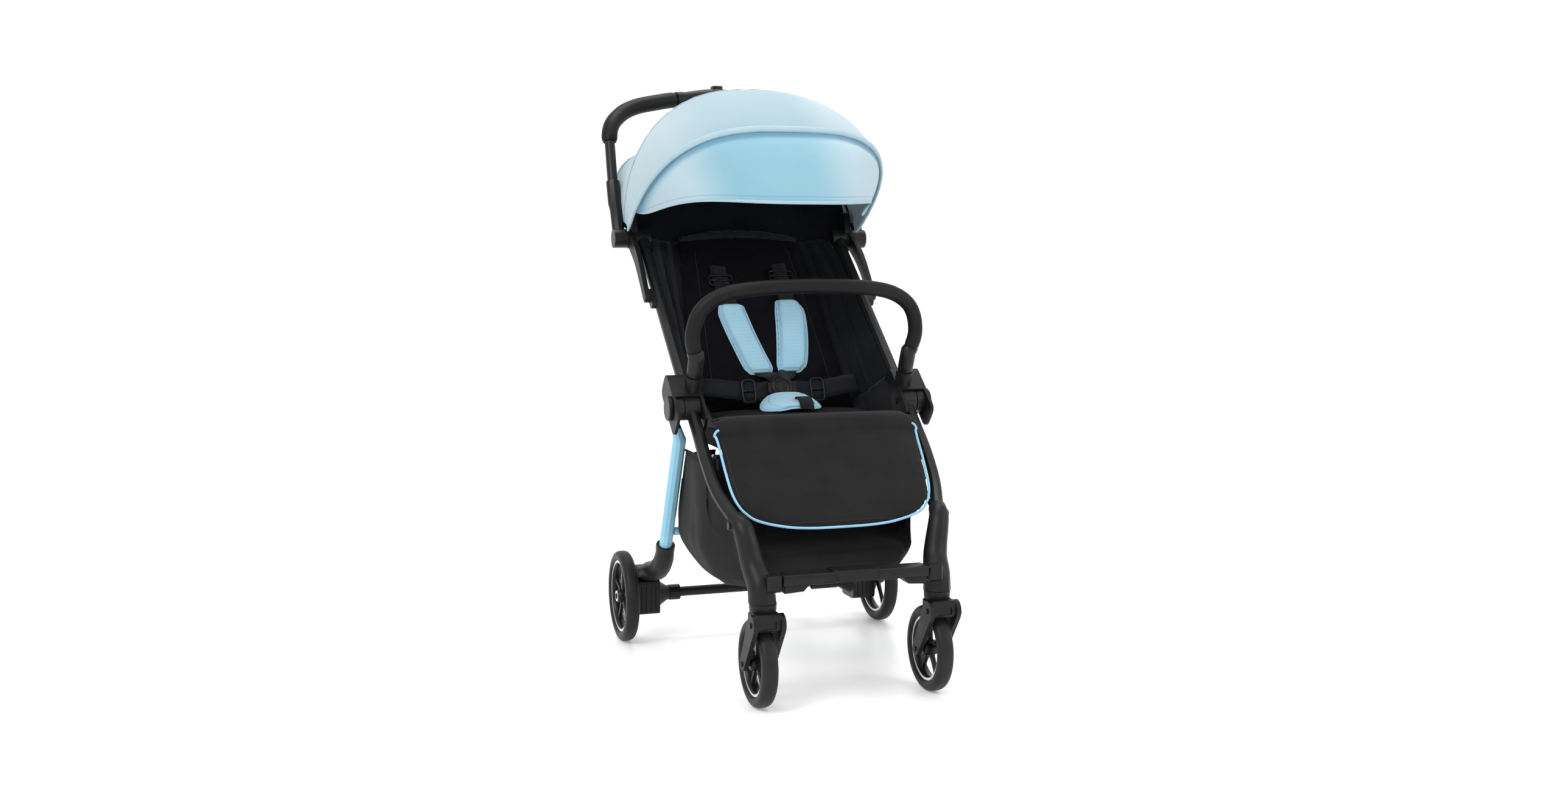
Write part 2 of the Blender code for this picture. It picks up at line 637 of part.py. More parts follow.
def make_hub_housing(side):
    """Two cheeks round the leg drums, a block above with the main tube socket, and the bumper socket."""
    x_low, x_high = HUB_INNER_X, HUB_OUTER_X
    corners = [main_line(-HUB_BELOW, -HUB_HALF_DEPTH), main_line(HUB_ABOVE, -HUB_HALF_DEPTH),
               main_line(HUB_ABOVE, HUB_HALF_DEPTH), main_line(-HUB_BELOW, HUB_HALF_DEPTH)]
    body = plate(rounded_outline(corners, 0.014), side * x_low, side * x_high)
    chamber_low, chamber_high = x_low + HUB_CHEEK, x_high - HUB_CHEEK
    chamber = drum(side, chamber_low, chamber_high, HUB_Y, HUB_Z, DRUM_RADIUS + RUN_GAP, 24)
    edge = HUB_HALF_DEPTH + 0.004
    mouth_corners = [main_line(-HUB_BELOW - 0.004, -edge), main_line(0.004, -edge),
                     main_line(0.004, edge), main_line(-HUB_BELOW - 0.004, edge)]
    mouth = plate(mouth_corners, side * chamber_low, side * chamber_high)
    pin_hole = drum(side, x_low - 0.002, x_high + 0.002, HUB_Y, HUB_Z, HUB_PIN_RADIUS + FIT_GAP, 16)
    tube_start = HUB_ABOVE - SOCKET_DEPTH
    socket = straight((side * MAIN_TUBE_X, *main_line(tube_start - FIT_GAP)),
                      (side * MAIN_TUBE_X, *main_line(HUB_ABOVE + 0.01)))
    tube_hole = tube(socket, MAIN_TUBE_RADIUS + FIT_GAP)
    foot = bumper_path(side)[0]
    top = foot + BUMPER_HEADING * SOCKET_DEPTH
    cup = tube([top - BUMPER_HEADING * CUP_DEPTH, top],
               [BUMPER_RADIUS - FIT_GAP, BUMPER_RADIUS + CUP_WALL], 16)
    cup_hole = tube([foot - BUMPER_HEADING * FIT_GAP, top + BUMPER_HEADING * 0.004],
                    BUMPER_SPIGOT + FIT_GAP, 12)
    housing = combine([body, cup], [chamber, mouth, pin_hole, tube_hole, cup_hole])
    place(f"hub_housing_{side_name(side)}", housing, "black_plastic", (0, HUB_Y, HUB_Z), 30)


def make_hub_cap(side):
    """The domed cap outside the hub; its pin carries both leg drums."""
    end = HUB_OUTER_X + FIT_GAP
    start = Vector((side * (HUB_INNER_X - 0.0015), HUB_Y, HUB_Z))
    reach = end - HUB_INNER_X + 0.0015
    profile = [(0.0, HUB_PIN_RADIUS), (reach, HUB_PIN_RADIUS), (reach, HUB_CAP_RADIUS - 0.001),
               (reach + 0.001, HUB_CAP_RADIUS), (reach + HUB_CAP_THICKNESS - 0.0015, HUB_CAP_RADIUS),
               (reach + HUB_CAP_THICKNESS, HUB_CAP_RADIUS - 0.0015)]
    cap = turned(profile, start, Vector((side, 0, 0)), 24)
    place(f"hub_cap_{side_name(side)}", cap, "black_plastic", (0, HUB_Y, HUB_Z))


def make_main_tube(side):
    start = HUB_ABOVE - SOCKET_DEPTH
    end = KNUCKLE_DISTANCE - KNUCKLE_RADIUS + SOCKET_DEPTH * 0.4
    bar = tube(straight((side * MAIN_TUBE_X, *main_line(start)), (side * MAIN_TUBE_X, *main_line(end))),
               MAIN_TUBE_RADIUS)
    low = main_line(ARM_BOTTOM - 0.016)
    high = main_line(ARM_BOTTOM + 0.012)
    bracket = plate(stadium(low, high, 0.0085, 0.0085, 5), side * (MAIN_TUBE_X + 0.004),
                    side * (ARM_INNER_X - FIT_GAP))
    place(f"main_tube_{side_name(side)}", combine([bar, bracket]), "black_paint", (0, HUB_Y, HUB_Z))


def make_knuckle(side):
    """The folding knuckle: a drum on the main tube, and an arm outside the tube down to its bracket."""
    inner = MAIN_TUBE_X - MAIN_TUBE_RADIUS - 0.003
    body = drum(side, inner, ARM_OUTER_X, KNUCKLE_Y, KNUCKLE_Z, KNUCKLE_RADIUS)
    neck = tube(straight((side * MAIN_TUBE_X, *main_line(KNUCKLE_DISTANCE - KNUCKLE_RADIUS - 0.018)),
                         (side * MAIN_TUBE_X, *main_line(KNUCKLE_DISTANCE))), MAIN_TUBE_RADIUS + 0.003)
    arm_path = smooth_path([Vector((*main_line(KNUCKLE_DISTANCE - 0.004, 0.004), 0)),
                            Vector((*main_line(KNUCKLE_DISTANCE - 0.075, 0.012), 0)),
                            Vector((*main_line(ARM_BOTTOM), 0))], 4)
    left_edge, right_edge = [], []
    for point, tangent, half in zip(arm_path, path_tangents(arm_path), ARM_WIDTHS):
        across = Vector((-tangent.y, tangent.x, 0)) * half
        left_edge.append(tuple((point + across)[:2]))
        right_edge.append(tuple((point - across)[:2]))
    foot = arm_path[-1]
    heading = math.atan2(path_tangents(arm_path)[-1].y, path_tangents(arm_path)[-1].x)
    toe = []
    for i in range(1, 6):
        angle = heading - math.pi / 2 + math.pi * i / 6
        toe.append((foot.x + ARM_WIDTHS[-1] * math.cos(angle), foot.y + ARM_WIDTHS[-1] * math.sin(angle)))
    arm = plate(right_edge + toe + left_edge[::-1], side * ARM_INNER_X, side * ARM_OUTER_X)
    tube_end = KNUCKLE_DISTANCE - KNUCKLE_RADIUS + SOCKET_DEPTH * 0.4
    hole = tube(straight((side * MAIN_TUBE_X, *main_line(tube_end - 0.036)),
                         (side * MAIN_TUBE_X, *main_line(tube_end + FIT_GAP))), MAIN_TUBE_RADIUS + FIT_GAP)
    lug_top = (CANOPY_Y + CANOPY_LUG_SHIFT, CANOPY_Z + CANOPY_LUG_RISE)
    lug_x = canopy_inner_x(CANOPY_LUG_RISE + CANOPY_LUG_RADIUS) - FIT_GAP
    lug = plate(stadium((KNUCKLE_Y, KNUCKLE_Z), lug_top, KNUCKLE_RADIUS - 0.003, CANOPY_LUG_RADIUS),
                side * (MAIN_TUBE_X + MAIN_TUBE_RADIUS), side * lug_x)
    pivot_hole = drum(side, ARM_OUTER_X - PIVOT_PIN_LENGTH, ARM_OUTER_X + 0.002, KNUCKLE_Y, KNUCKLE_Z,
                      PIVOT_PIN_RADIUS + RUN_GAP, 12)
    shape = combine([body, neck, arm, lug], [hole, pivot_hole])
    place(f"knuckle_{side_name(side)}", shape, "black_plastic", (0, HUB_Y, HUB_Z), 30)


def path_tangents(path):
    return [(path[min(i + 1, len(path) - 1)] - path[max(i - 1, 0)]).normalized() for i in range(len(path))]


# Handle


def handle_half_path():
    """From the left knuckle sleeve up, round the corner and along the top to the middle."""
    points = [Vector((inset - HANDLE_X, KNUCKLE_Y + back, KNUCKLE_Z + up))
              for inset, back, up in HANDLE_BENDS]
    points.append(Vector((0.0, HANDLE_TOP_Y, HANDLE_TOP_Z)))
    return smooth_path(points, PATH_STEPS)


def full_handle_path():
    half = handle_half_path()
    return half + [Vector((-p.x, p.y, p.z)) for p in half[-2::-1]]


def make_handle():
    pivot = (0, KNUCKLE_Y, KNUCKLE_Z)
    path = full_handle_path()
    place("handle_tube", tube(path, HANDLE_TUBE_RADIUS), "black_paint", pivot)
    count = len(path)
    inner = HANDLE_TUBE_RADIUS + FIT_GAP
    for side in (-1, 1):
        span = path[GRIP_FROM:GRIP_TO + 1] if side < 0 else path[count - 1 - GRIP_TO:count - GRIP_FROM]
        steps = len(span) - 1
        radii = [GRIP_RADIUS] * (steps + 1)
        radii[0] = radii[-1] = GRIP_RADIUS - GRIP_EDGE
        frames = path_frames(path)
        first = path.index(span[0])
        cut = frames[first:first + steps + 1]
        outside = [ring_round(p, a, b, r, r) for (p, a, b), r in zip(cut, radii)]
        inside = [ring_round(p, a, b, inner, inner) for p, a, b in cut]
        grip = loft(outside + inside[::-1], closed=True)
        place(f"handle_grip_{side_name(side)}", grip, "grip_foam", pivot)
    middle = path[GRIP_TO:count - GRIP_TO]
    frames = path_frames(path)[GRIP_TO:count - GRIP_TO]
    outside, inside = [], []
    for i, (p, a, b) in enumerate(frames):
        t = abs(p.x) / abs(middle[0].x)
        half = UNIT_RADIUS - 0.005 * min(1.0, t * 1.1)
        shift = FIT_GAP * 2 if i in (0, len(frames) - 1) else 0.0
        p = p + Vector((math.copysign(shift, -p.x), 0, 0))
        outside.append(ring_round(p, a, b, half, half, SIDES, 2.6))
        inside.append(ring_round(p, a, b, inner, inner))
    unit = loft(outside + inside[::-1], closed=True)
    top = HANDLE_TOP_Z
    floor = HANDLE_TUBE_RADIUS + 0.002
    lock_half = LOCK_HALF + FIT_GAP
    pocket = block((-lock_half - LOCK_TRAVEL, HANDLE_TOP_Y - lock_half, top + floor),
                   (lock_half + LOCK_TRAVEL, HANDLE_TOP_Y + lock_half, top + 0.05))
    half_x, half_z = BUTTON_HALF
    button_pocket = block((-half_x - FIT_GAP, HANDLE_TOP_Y - 0.05, top - half_z - FIT_GAP),
                          (half_x + FIT_GAP, HANDLE_TOP_Y - floor, top + half_z + FIT_GAP))
    place("handle_unit", combine([unit], [pocket, button_pocket]), "black_plastic", pivot, 30)
    lock = block((-LOCK_HALF, HANDLE_TOP_Y - LOCK_HALF, top + floor + FIT_GAP),
                 (LOCK_HALF, HANDLE_TOP_Y + LOCK_HALF, top + UNIT_RADIUS + BUTTON_TRAVEL), 0.0015)
    place("fold_lock", lock, "black_plastic", (0, HANDLE_TOP_Y, top))
    button = block((-half_x, HANDLE_TOP_Y - UNIT_RADIUS - UNIT_SWELL, top - half_z),
                   (half_x, HANDLE_TOP_Y - floor - BUTTON_TRAVEL, top + half_z), 0.0015)
    place("fold_button", button, "black_plastic", (0, HANDLE_TOP_Y - UNIT_RADIUS, top))


def make_handle_sleeve(side):
    """The moulded sleeve at the foot of the handle tube, which turns on the knuckle."""
    path = handle_half_path()
    if side > 0:
        path = [Vector((-p.x, p.y, p.z)) for p in path]
    foot = Vector((side * HANDLE_X, KNUCKLE_Y, KNUCKLE_Z))
    top = path[3]
    inner_x = ARM_OUTER_X + RUN_GAP
    outer_x = HANDLE_X + HANDLE_TUBE_RADIUS + 0.002
    eye = drum(side, inner_x, outer_x, KNUCKLE_Y, KNUCKLE_Z, KNUCKLE_RADIUS - 0.001)
    mid = foot.lerp(top, 0.5)
    low, high = HANDLE_TUBE_RADIUS + 0.0020, HANDLE_TUBE_RADIUS + 0.0032
    neck = tube([foot, mid, path[2], top], [low, low, high, high])
    hole = tube([path[0] - (path[1] - path[0]).normalized() * FIT_GAP] + path[1:5],
                HANDLE_TUBE_RADIUS + FIT_GAP)
    pin = drum(side, ARM_OUTER_X - PIVOT_PIN_LENGTH + RUN_GAP, inner_x + 0.004, KNUCKLE_Y, KNUCKLE_Z,
               PIVOT_PIN_RADIUS, 12)
    shape = combine([eye, neck, pin], [hole])
    place(f"handle_sleeve_{side_name(side)}", shape, "black_plastic", (0, KNUCKLE_Y, KNUCKLE_Z))


# Bumper bar


def bumper_path(side):
    """From one foot up to the middle of the arch."""
    foot = Vector((BUMPER_FOOT_X, *main_line(*BUMPER_FOOT)))
    points = [foot, foot + BUMPER_HEADING * 0.042]
    points += [foot + Vector(bend) for bend in BUMPER_BENDS]
    points.append(Vector((BUMPER_FOOT_X - 0.100, BUMPER_TOP_Y + 0.001, BUMPER_TOP_Z - 0.003)))
    points.append(Vector((0.0, BUMPER_TOP_Y, BUMPER_TOP_Z)))
    return smooth_path([Vector((side * p.x, p.y, p.z)) for p in points], PATH_STEPS)


def make_bumper():
    left = bumper_path(-1)
    seat = SOCKET_DEPTH + FIT_GAP
    body = [left[0] + BUMPER_HEADING * seat]
    body += [p for p in left[1:] if (p - left[0]).dot(BUMPER_HEADING) > seat + 0.006]
    path = body + [Vector((-p.x, p.y, p.z)) for p in body[-2::-1]]
    spigots = []
    for side in (-1, 1):
        foot = bumper_path(side)[0]
        spigots.append(tube([foot, foot + BUMPER_HEADING * (seat + 0.006)], BUMPER_SPIGOT, 12))
    place("bumper_bar", combine([tube(path, BUMPER_RADIUS)] + spigots), "grip_foam", (0, HUB_Y, HUB_Z))


# Casters and wheels


def make_caster(side):
    """The swivelling head and its two fork plates, with the stem above and the wheel pin below."""
    x = side * FRONT_TRACK / 2
    down = Vector((0, 0, -1))
    neck_top = CASTER_JOINT_Z - RUN_GAP
    neck = turned([(0.0, CASTER_NECK_RADIUS - 0.0005), (0.010, CASTER_NECK_RADIUS - 0.0010),
                   (0.018, CASTER_NECK_RADIUS - 0.0030)], Vector((x, CASTER_Y, neck_top)), down, 18)
    head_low = FORK_PIVOT_Z - 0.004
    head = block((x - FORK_GAP - 0.003, FORK_PIVOT_Y - 0.0120, head_low),
                 (x + FORK_GAP + 0.003, CASTER_Y + 0.010, neck_top - 0.012), 0.003, 1)
    barrel = drum(1, x - FORK_GAP - 0.002, x + FORK_GAP + 0.002, FORK_PIVOT_Y, FORK_PIVOT_Z,
                  FORK_BARREL_RADIUS)
    stem = turned([(0.0, STEM_RADIUS), (STEM_LENGTH + 0.008, STEM_RADIUS)],
                  Vector((x, CASTER_Y, neck_top - 0.008)), Vector((0, 0, 1)), 12)
    outline = stadium((FORK_PIVOT_Y, FORK_PIVOT_Z), (0.0, FRONT_WHEEL_RADIUS), FORK_EYE_RADIUS,
                      FORK_FOOT_RADIUS)
    plates = [plate(outline, x + end * FORK_GAP, x + end * (FORK_GAP + FORK_PLATE)) for end in (-1, 1)]
    reach = FORK_GAP + FORK_PLATE + FORK_PIN_PROUD
    pin = drum(1, x - reach, x + reach, 0.0, FRONT_WHEEL_RADIUS, AXLE_PIN_RADIUS, 12)
    rivet = drum(1, x - reach, x + reach, FORK_PIVOT_Y, FORK_PIVOT_Z, 0.0045, 12)
    wide, deep, tall = FORK_WINDOW
    face = FORK_PIVOT_Y - FORK_BARREL_RADIUS
    window = block((x - wide / 2, face - 0.002, FORK_PIVOT_Z - tall / 2),
                   (x + wide / 2, face + deep, FORK_PIVOT_Z + tall / 2))
    shape = combine([head, neck, barrel, stem] + plates + [rivet, pin], [window])
    place(f"caster_fork_{side_name(side)}", shape, "black_plastic", (x, CASTER_Y, CASTER_JOINT_Z), 30)


def make_wheel(name, side, x, y, radius, width):
    """A foam tyre on a rim with five spokes and a plain bore."""
    axis = Vector((1, 0, 0))
    centre = Vector((x, y, radius))
    seat = radius - TYRE_DEPTH
    half = width / 2
    steps = 6
    profile = [(-half * 0.62, seat)]
    for i in range(steps + 1):
        angle = math.pi * i / steps
        along = -math.cos(angle)
        rise = math.sin(angle) ** 0.62
        profile.append((half * math.copysign(abs(along) ** 0.75, along), seat + 0.0030
                        + (TYRE_DEPTH - 0.0030) * rise))
    profile.append((half * 0.62, seat))
    tyre = turned(profile, centre, axis, 24, closed=True)
    place(f"{name}_tyre_{side_name(side)}", tyre, "tyre_foam", centre)
    outer = seat - FIT_GAP
    rim_half = half * 0.60
    ring = turned([(-rim_half, outer - RIM_WALL), (-rim_half, outer), (rim_half, outer),
                   (rim_half, outer - RIM_WALL), (rim_half * 0.2, outer - RIM_WALL - 0.0015)],
                  centre, axis, 24, closed=True)
    bore = AXLE_PIN_RADIUS + RUN_GAP
    hub = turned([(-half, bore), (-half, WHEEL_HUB_RADIUS - 0.002), (-half * 0.5, WHEEL_HUB_RADIUS),
                  (half * 0.5, WHEEL_HUB_RADIUS), (half, WHEEL_HUB_RADIUS - 0.002), (half, bore)],
                 centre, axis, 12, closed=True)
    spokes = bmesh.new()
    for i in range(SPOKES):
        angle = math.tau * (i + 0.25) / SPOKES
        out = Vector((0, math.cos(angle), math.sin(angle)))
        cross = Vector((0, -math.sin(angle), math.cos(angle)))
        low, high = WHEEL_HUB_RADIUS - 0.003, outer - RIM_WALL * 0.5
        ends = []
        for distance, wide in ((low, SPOKE_WIDTH * 1.25), (high, SPOKE_WIDTH)):
            middle = centre + out * distance
            ends.append([spokes.verts.new(middle + cross * (wide / 2 * a) + axis * (half * 0.34 * b))
                         for a, b in ((-1, -1), (1, -1), (1, 1), (-1, 1))])
        for k in range(4):
            m = (k + 1) % 4
            spokes.faces.new((ends[0][k], ends[0][m], ends[1][m], ends[1][k]))
        spokes.faces.new(ends[0][::-1])
        spokes.faces.new(ends[1])
    face_outward(spokes)
    place(f"{name}_rim_{side_name(side)}", combine([ring, spokes, hub]), "black_plastic", centre, 30)


# Rear frame


def make_rear_leg(side):
    layer = HUB_OUTER_X - HUB_CHEEK - RUN_GAP
    head = drum(side, layer - DRUM_LAYER + RUN_GAP * 2, layer, HUB_Y, HUB_Z, DRUM_RADIUS)
    hole = drum(side, HUB_INNER_X, HUB_OUTER_X, HUB_Y, HUB_Z, HUB_PIN_RADIUS + RUN_GAP, 16)
    drum_middle = side * (layer - DRUM_LAYER / 2 + RUN_GAP)
    path = [Vector((drum_middle, *rear_line(DRUM_RADIUS * 0.5))), Vector((drum_middle, *rear_line(0.030))),
            Vector((side * REAR_LEG_X, *rear_line(0.062))), Vector((side * REAR_LEG_X, *rear_line(0.085))),
            Vector((side * REAR_LEG_X, *rear_line(REAR_LEG_LENGTH)))]
    radii = [0.0062, 0.0066, REAR_LEG_RADIUS, REAR_LEG_RADIUS, REAR_LEG_RADIUS]
    leg = combine([tube(path, radii), head], [hole])
    place(f"rear_leg_{side_name(side)}", leg, "blue_paint", (0, HUB_Y, HUB_Z))


def housing_top():
    return REAR_WHEEL_RADIUS + HOUSING_HEIGHT / 2


def make_rear_socket(side):
    """The cast elbow under the rear leg: a collar cut on the slant, and a foot on the axle housing."""
    mouth = REAR_LEG_LENGTH - SOCKET_BITE
    deck = housing_top() + FIT_GAP
    foot = Vector((side * HOUSING_MIDDLE_X, WHEELBASE - 0.004, deck))
    elbow_x = REAR_LEG_X + (HOUSING_MIDDLE_X - REAR_LEG_X) * 0.35
    points = [Vector((side * REAR_LEG_X, *rear_line(mouth))),
              Vector((side * REAR_LEG_X, *rear_line(mouth + 0.030))),
              Vector((side * elbow_x, rear_line(mouth)[0] + 0.047, deck + 0.0301)),
              foot + Vector((0, -0.030, 0.016)), foot + Vector((0, 0, 0.0005))]
    path = smooth_path(points, PATH_STEPS)
    count = len(path)
    radii = [SOCKET_RADIUS + SOCKET_SWELL * math.sin(math.pi * i / (count - 1)) for i in range(count)]
    body = tube(path, radii, 12)
    lip = tube(straight((side * REAR_LEG_X, *rear_line(mouth - 0.002)),
                        (side * REAR_LEG_X, *rear_line(mouth + 0.008))), SOCKET_RADIUS + 0.0018, 12)
    trim = block((foot.x - 0.05, WHEELBASE - 0.18, deck - 0.05), (foot.x + 0.05, WHEELBASE + 0.12, deck))
    pad = block((foot.x - 0.018, WHEELBASE - 0.026, deck),
                (foot.x + 0.018, WHEELBASE + 0.018, deck + 0.020), 0.004, 1)
    bore = straight((side * REAR_LEG_X, *rear_line(mouth - SOCKET_BITE)),
                    (side * REAR_LEG_X, *rear_line(REAR_LEG_LENGTH + FIT_GAP)))
    hole = tube(bore, REAR_LEG_RADIUS + FIT_GAP)
    shape = combine([body, lip, pad], [trim, hole])
    place(f"rear_socket_{side_name(side)}", shape, "black_plastic", (0, HUB_Y, HUB_Z), 35)


def make_axle_housing(side):
    """The ribbed block at the rear wheel, with a cone and collar round the axle bar and the wheel's pin."""
    y, z = WHEELBASE, REAR_WHEEL_RADIUS
    half_depth, half_height = HOUSING_DEPTH / 2, HOUSING_HEIGHT / 2
    corners = [(y - half_depth, z - half_height), (y + half_depth, z - half_height),
               (y + half_depth, z + half_height), (y - half_depth, z + half_height)]
    body = plate(rounded_outline(corners, 0.010), side * HOUSING_INNER_X, side * HOUSING_OUTER_X)
    across = Vector((side, 0, 0))
    cone = turned([(0.0, COLLAR_RADIUS), (0.020, COLLAR_RADIUS), (0.021, COLLAR_RADIUS - 0.0015),
                   (0.026, COLLAR_RADIUS), (COLLAR_LENGTH + 0.002, half_depth - 0.003)],
                  Vector((side * COLLAR_INNER_X, y, z)), across, 16)
    pin_end = (REAR_TRACK + REAR_WHEEL_WIDTH) / 2 + 0.003
    pin = drum(side, HOUSING_OUTER_X - 0.005, pin_end, y, z, AXLE_PIN_RADIUS, 12)
    bore = drum(side, COLLAR_INNER_X - 0.004, AXLE_BAR_REACH + FIT_GAP, y, z, AXLE_BAR_RADIUS + FIT_GAP, 16)
    grooves = []
    for i in range(HOUSING_RIBS - 1):
        x = side * (HOUSING_INNER_X + HOUSING_WIDTH * (i + 1) / HOUSING_RIBS)
        half = HOUSING_GROOVE_WIDTH / 2
        grooves.append(block((x - half, y - half_depth - 0.002, z - half_height - 0.002),
                             (x + half, y - half_depth + HOUSING_GROOVE_DEPTH, z + half_height - 0.012)))
    shape = combine([body, cone, pin], [bore] + grooves)
    place(f"axle_housing_{side_name(side)}", shape, "black_plastic", (0, HUB_Y, HUB_Z), 30)


def make_rear_cross_members():
    pivot = (0, HUB_Y, HUB_Z)
    axle = tube(straight((-AXLE_BAR_REACH, WHEELBASE, REAR_WHEEL_RADIUS),
                         (AXLE_BAR_REACH, WHEELBASE, REAR_WHEEL_RADIUS)), AXLE_BAR_RADIUS, 16)
    place("rear_axle_bar", axle, "black_paint", pivot)
    reach = REAR_LEG_X - REAR_LEG_RADIUS - FIT_GAP
    y, z = rear_line(BRACE_DISTANCE)
    place("rear_brace", tube(straight((-reach, y, z), (reach, y, z)), BRACE_RADIUS), "blue_paint", pivot)


def make_brake_pedal():
    """The foot lever that turns on the axle bar beside the right-hand collar."""
    y, z = WHEELBASE, REAR_WHEEL_RADIUS
    low, high = COLLAR_INNER_X - PEDAL_WIDTH, COLLAR_INNER_X - RUN_GAP
    ring = drum(1, low, high, y, z, COLLAR_RADIUS)
    lever = [(y + 0.006, z + 0.011), (y + 0.040, z + 0.006), (y + 0.066, z - 0.004), (y + 0.068, z - 0.010),
             (y + 0.040, z - 0.004), (y + 0.006, z - 0.010)]
    tread = plate(rounded_outline(lever, 0.004, 2), low - 0.022, high - 0.004)
    bore = drum(1, low - 0.002, high + 0.002, y, z, AXLE_BAR_RADIUS + RUN_GAP, 16)
    clear = drum(1, low - 0.030, low + 0.002, y, z, AXLE_BAR_RADIUS + 0.004, 16)
    place("brake_pedal", combine([ring, tread], [clear, bore]), "black_plastic", (0, y, z))


# Soft parts


def crown_grid(x_half, y_low, y_high, z_at, crown, columns=13, rows=11, power=3.0):
    """A grid of points for the top of a cushion: its outline is a rounded square and its middle is full."""
    grid = []
    for i in range(rows):
        v = -1 + 2 * i / (rows - 1)
        row = []
        for j in range(columns):
            u = -1 + 2 * j / (columns - 1)
            rise = (1 - abs(u) ** power) * (1 - abs(v) ** power)
            row.append(Vector((u * x_half, y_low + (v + 1) / 2 * (y_high - y_low), z_at + crown * rise)))
        grid.append(row)
    return grid


def cushion(front_grid, back_grid):
    """A closed solid between two grids that share their outline's shape."""
    rows, columns = len(front_grid), len(front_grid[0])
    mesh = bmesh.new()
    front = [[mesh.verts.new(p) for p in row] for row in front_grid]
    back = [[mesh.verts.new(p) for p in row] for row in back_grid]
    for i in range(rows - 1):
        for j in range(columns - 1):
            mesh.faces.new((front[i][j], front[i][j + 1], front[i + 1][j + 1], front[i + 1][j]))
            mesh.faces.new((back[i][j], back[i + 1][j], back[i + 1][j + 1], back[i][j + 1]))
    rim = [(0, j) for j in range(columns)]
    rim += [(i, columns - 1) for i in range(1, rows)]
    rim += [(rows - 1, j) for j in range(columns - 2, -1, -1)]
    rim += [(i, 0) for i in range(rows - 2, 0, -1)]
    for (a, b), (c, d) in zip(rim, rim[1:] + rim[:1]):
        mesh.faces.new((front[a][b], back[a][b], back[c][d], front[c][d]))
    return face_outward(mesh)


def seat_surface(y):
    """Height of the seat cushion along its middle."""
    v = -1 + 2 * (y - SEAT_FRONT_Y) / (SEAT_REAR_Y - SEAT_FRONT_Y)
    return SEAT_TOP_Z - SEAT_EDGE_DROP + SEAT_CROWN * (1 - abs(v) ** 3)


def make_seat_pad():
    """The seat cushion: a full crown, drawn-in sides and a rolled front edge over the crossbar."""
    bottom = CROSSBAR_Z + CROSSBAR_HEIGHT / 2 + FIT_GAP
    top = crown_grid(SEAT_HALF_WIDTH, SEAT_FRONT_Y, SEAT_REAR_Y, SEAT_TOP_Z - SEAT_EDGE_DROP, SEAT_CROWN)
    base = crown_grid(SEAT_HALF_WIDTH - 0.010, SEAT_FRONT_Y, SEAT_REAR_Y - 0.004, bottom, 0.0)
    place("seat_pad", cushion(top, base), "black_fabric", smooth=60)


def backrest_width(along):
    """Half the width of the board, which narrows towards its arched top."""
    t = max(0.0, along) / BACKREST_LENGTH
    return BACKREST_LOW_HALF + (BACKREST_TOP_HALF - BACKREST_LOW_HALF) * t ** 1.5


def make_backrest():
    """The padded back board, with an arched top edge and a soft roll along it."""
    rows, columns = 13, 11
    front, back = [], []
    for i in range(rows):
        t = i / (rows - 1)
        along = BACKREST_START + (BACKREST_LENGTH - BACKREST_START) * t
        f_row, b_row = [], []
        for j in range(columns):
            u = -1 + 2 * j / (columns - 1)
            arch = 0.014 * (1 - u * u) * t ** 3
            roll = 0.007 * math.exp(-((i - rows + 2) / 1.3) ** 2)
            x = u * backrest_width(along)
            y, z = seat_back_line(along + arch, BACKREST_CROWN * (1 - abs(u) ** 3) + roll)
            f_row.append(Vector((x, y, z)))
            y, z = seat_back_line(along + arch, -BACKREST_THICKNESS)
            b_row.append(Vector((x, y, z)))
        front.append(f_row)
        back.append(b_row)
    place("backrest", cushion(front, back), "black_fabric", (0, RECLINE_Y, RECLINE_Z), 60)


def make_seat_side(side):
    """The cloth wing from the main tube in to the edge of the backrest, with long folds."""
    rows, columns = 12, 8
    first, last = HUB_ABOVE + 0.006, KNUCKLE_DISTANCE - KNUCKLE_RADIUS - 0.022
    front, back = [], []
    for i in range(rows):
        t = i / (rows - 1)
        y, z = main_line(first + (last - first) * t)
        top = Vector((side * (MAIN_TUBE_X - MAIN_TUBE_RADIUS - FIT_GAP - FABRIC), y, z))
        back_along = 0.004 + t * (BACKREST_LENGTH - 0.010)
        y, z = seat_back_line(back_along, -0.002)
        low = Vector((side * (backrest_width(back_along) + FIT_GAP), y, z))
        f_row, b_row = [], []
        for j in range(columns):
            s = j / (columns - 1)
            point = top.lerp(low, s)
            fold = 0.0050 * math.sin(3 * math.pi * s + 2.4 * t) * math.sin(math.pi * s)
            point.x += side * abs(fold)
            f_row.append(point)
            b_row.append(point + Vector((side * FABRIC, 0, 0)))
        front.append(f_row)
        back.append(b_row)
    place(f"seat_side_{side_name(side)}", cushion(front, back), "black_fabric", (0, HUB_Y, HUB_Z), 60)


def flap_half_width(t):
    """Half the width of the calf rest; its lower corners are round."""
    corner = max(0.0, t - 0.70) / 0.30
    straight_half = FLAP_TOP_HALF + (FLAP_LOW_HALF - FLAP_TOP_HALF) * min(t, 0.75) / 0.75
    return straight_half * (1 - 0.22 * corner ** 2.6)


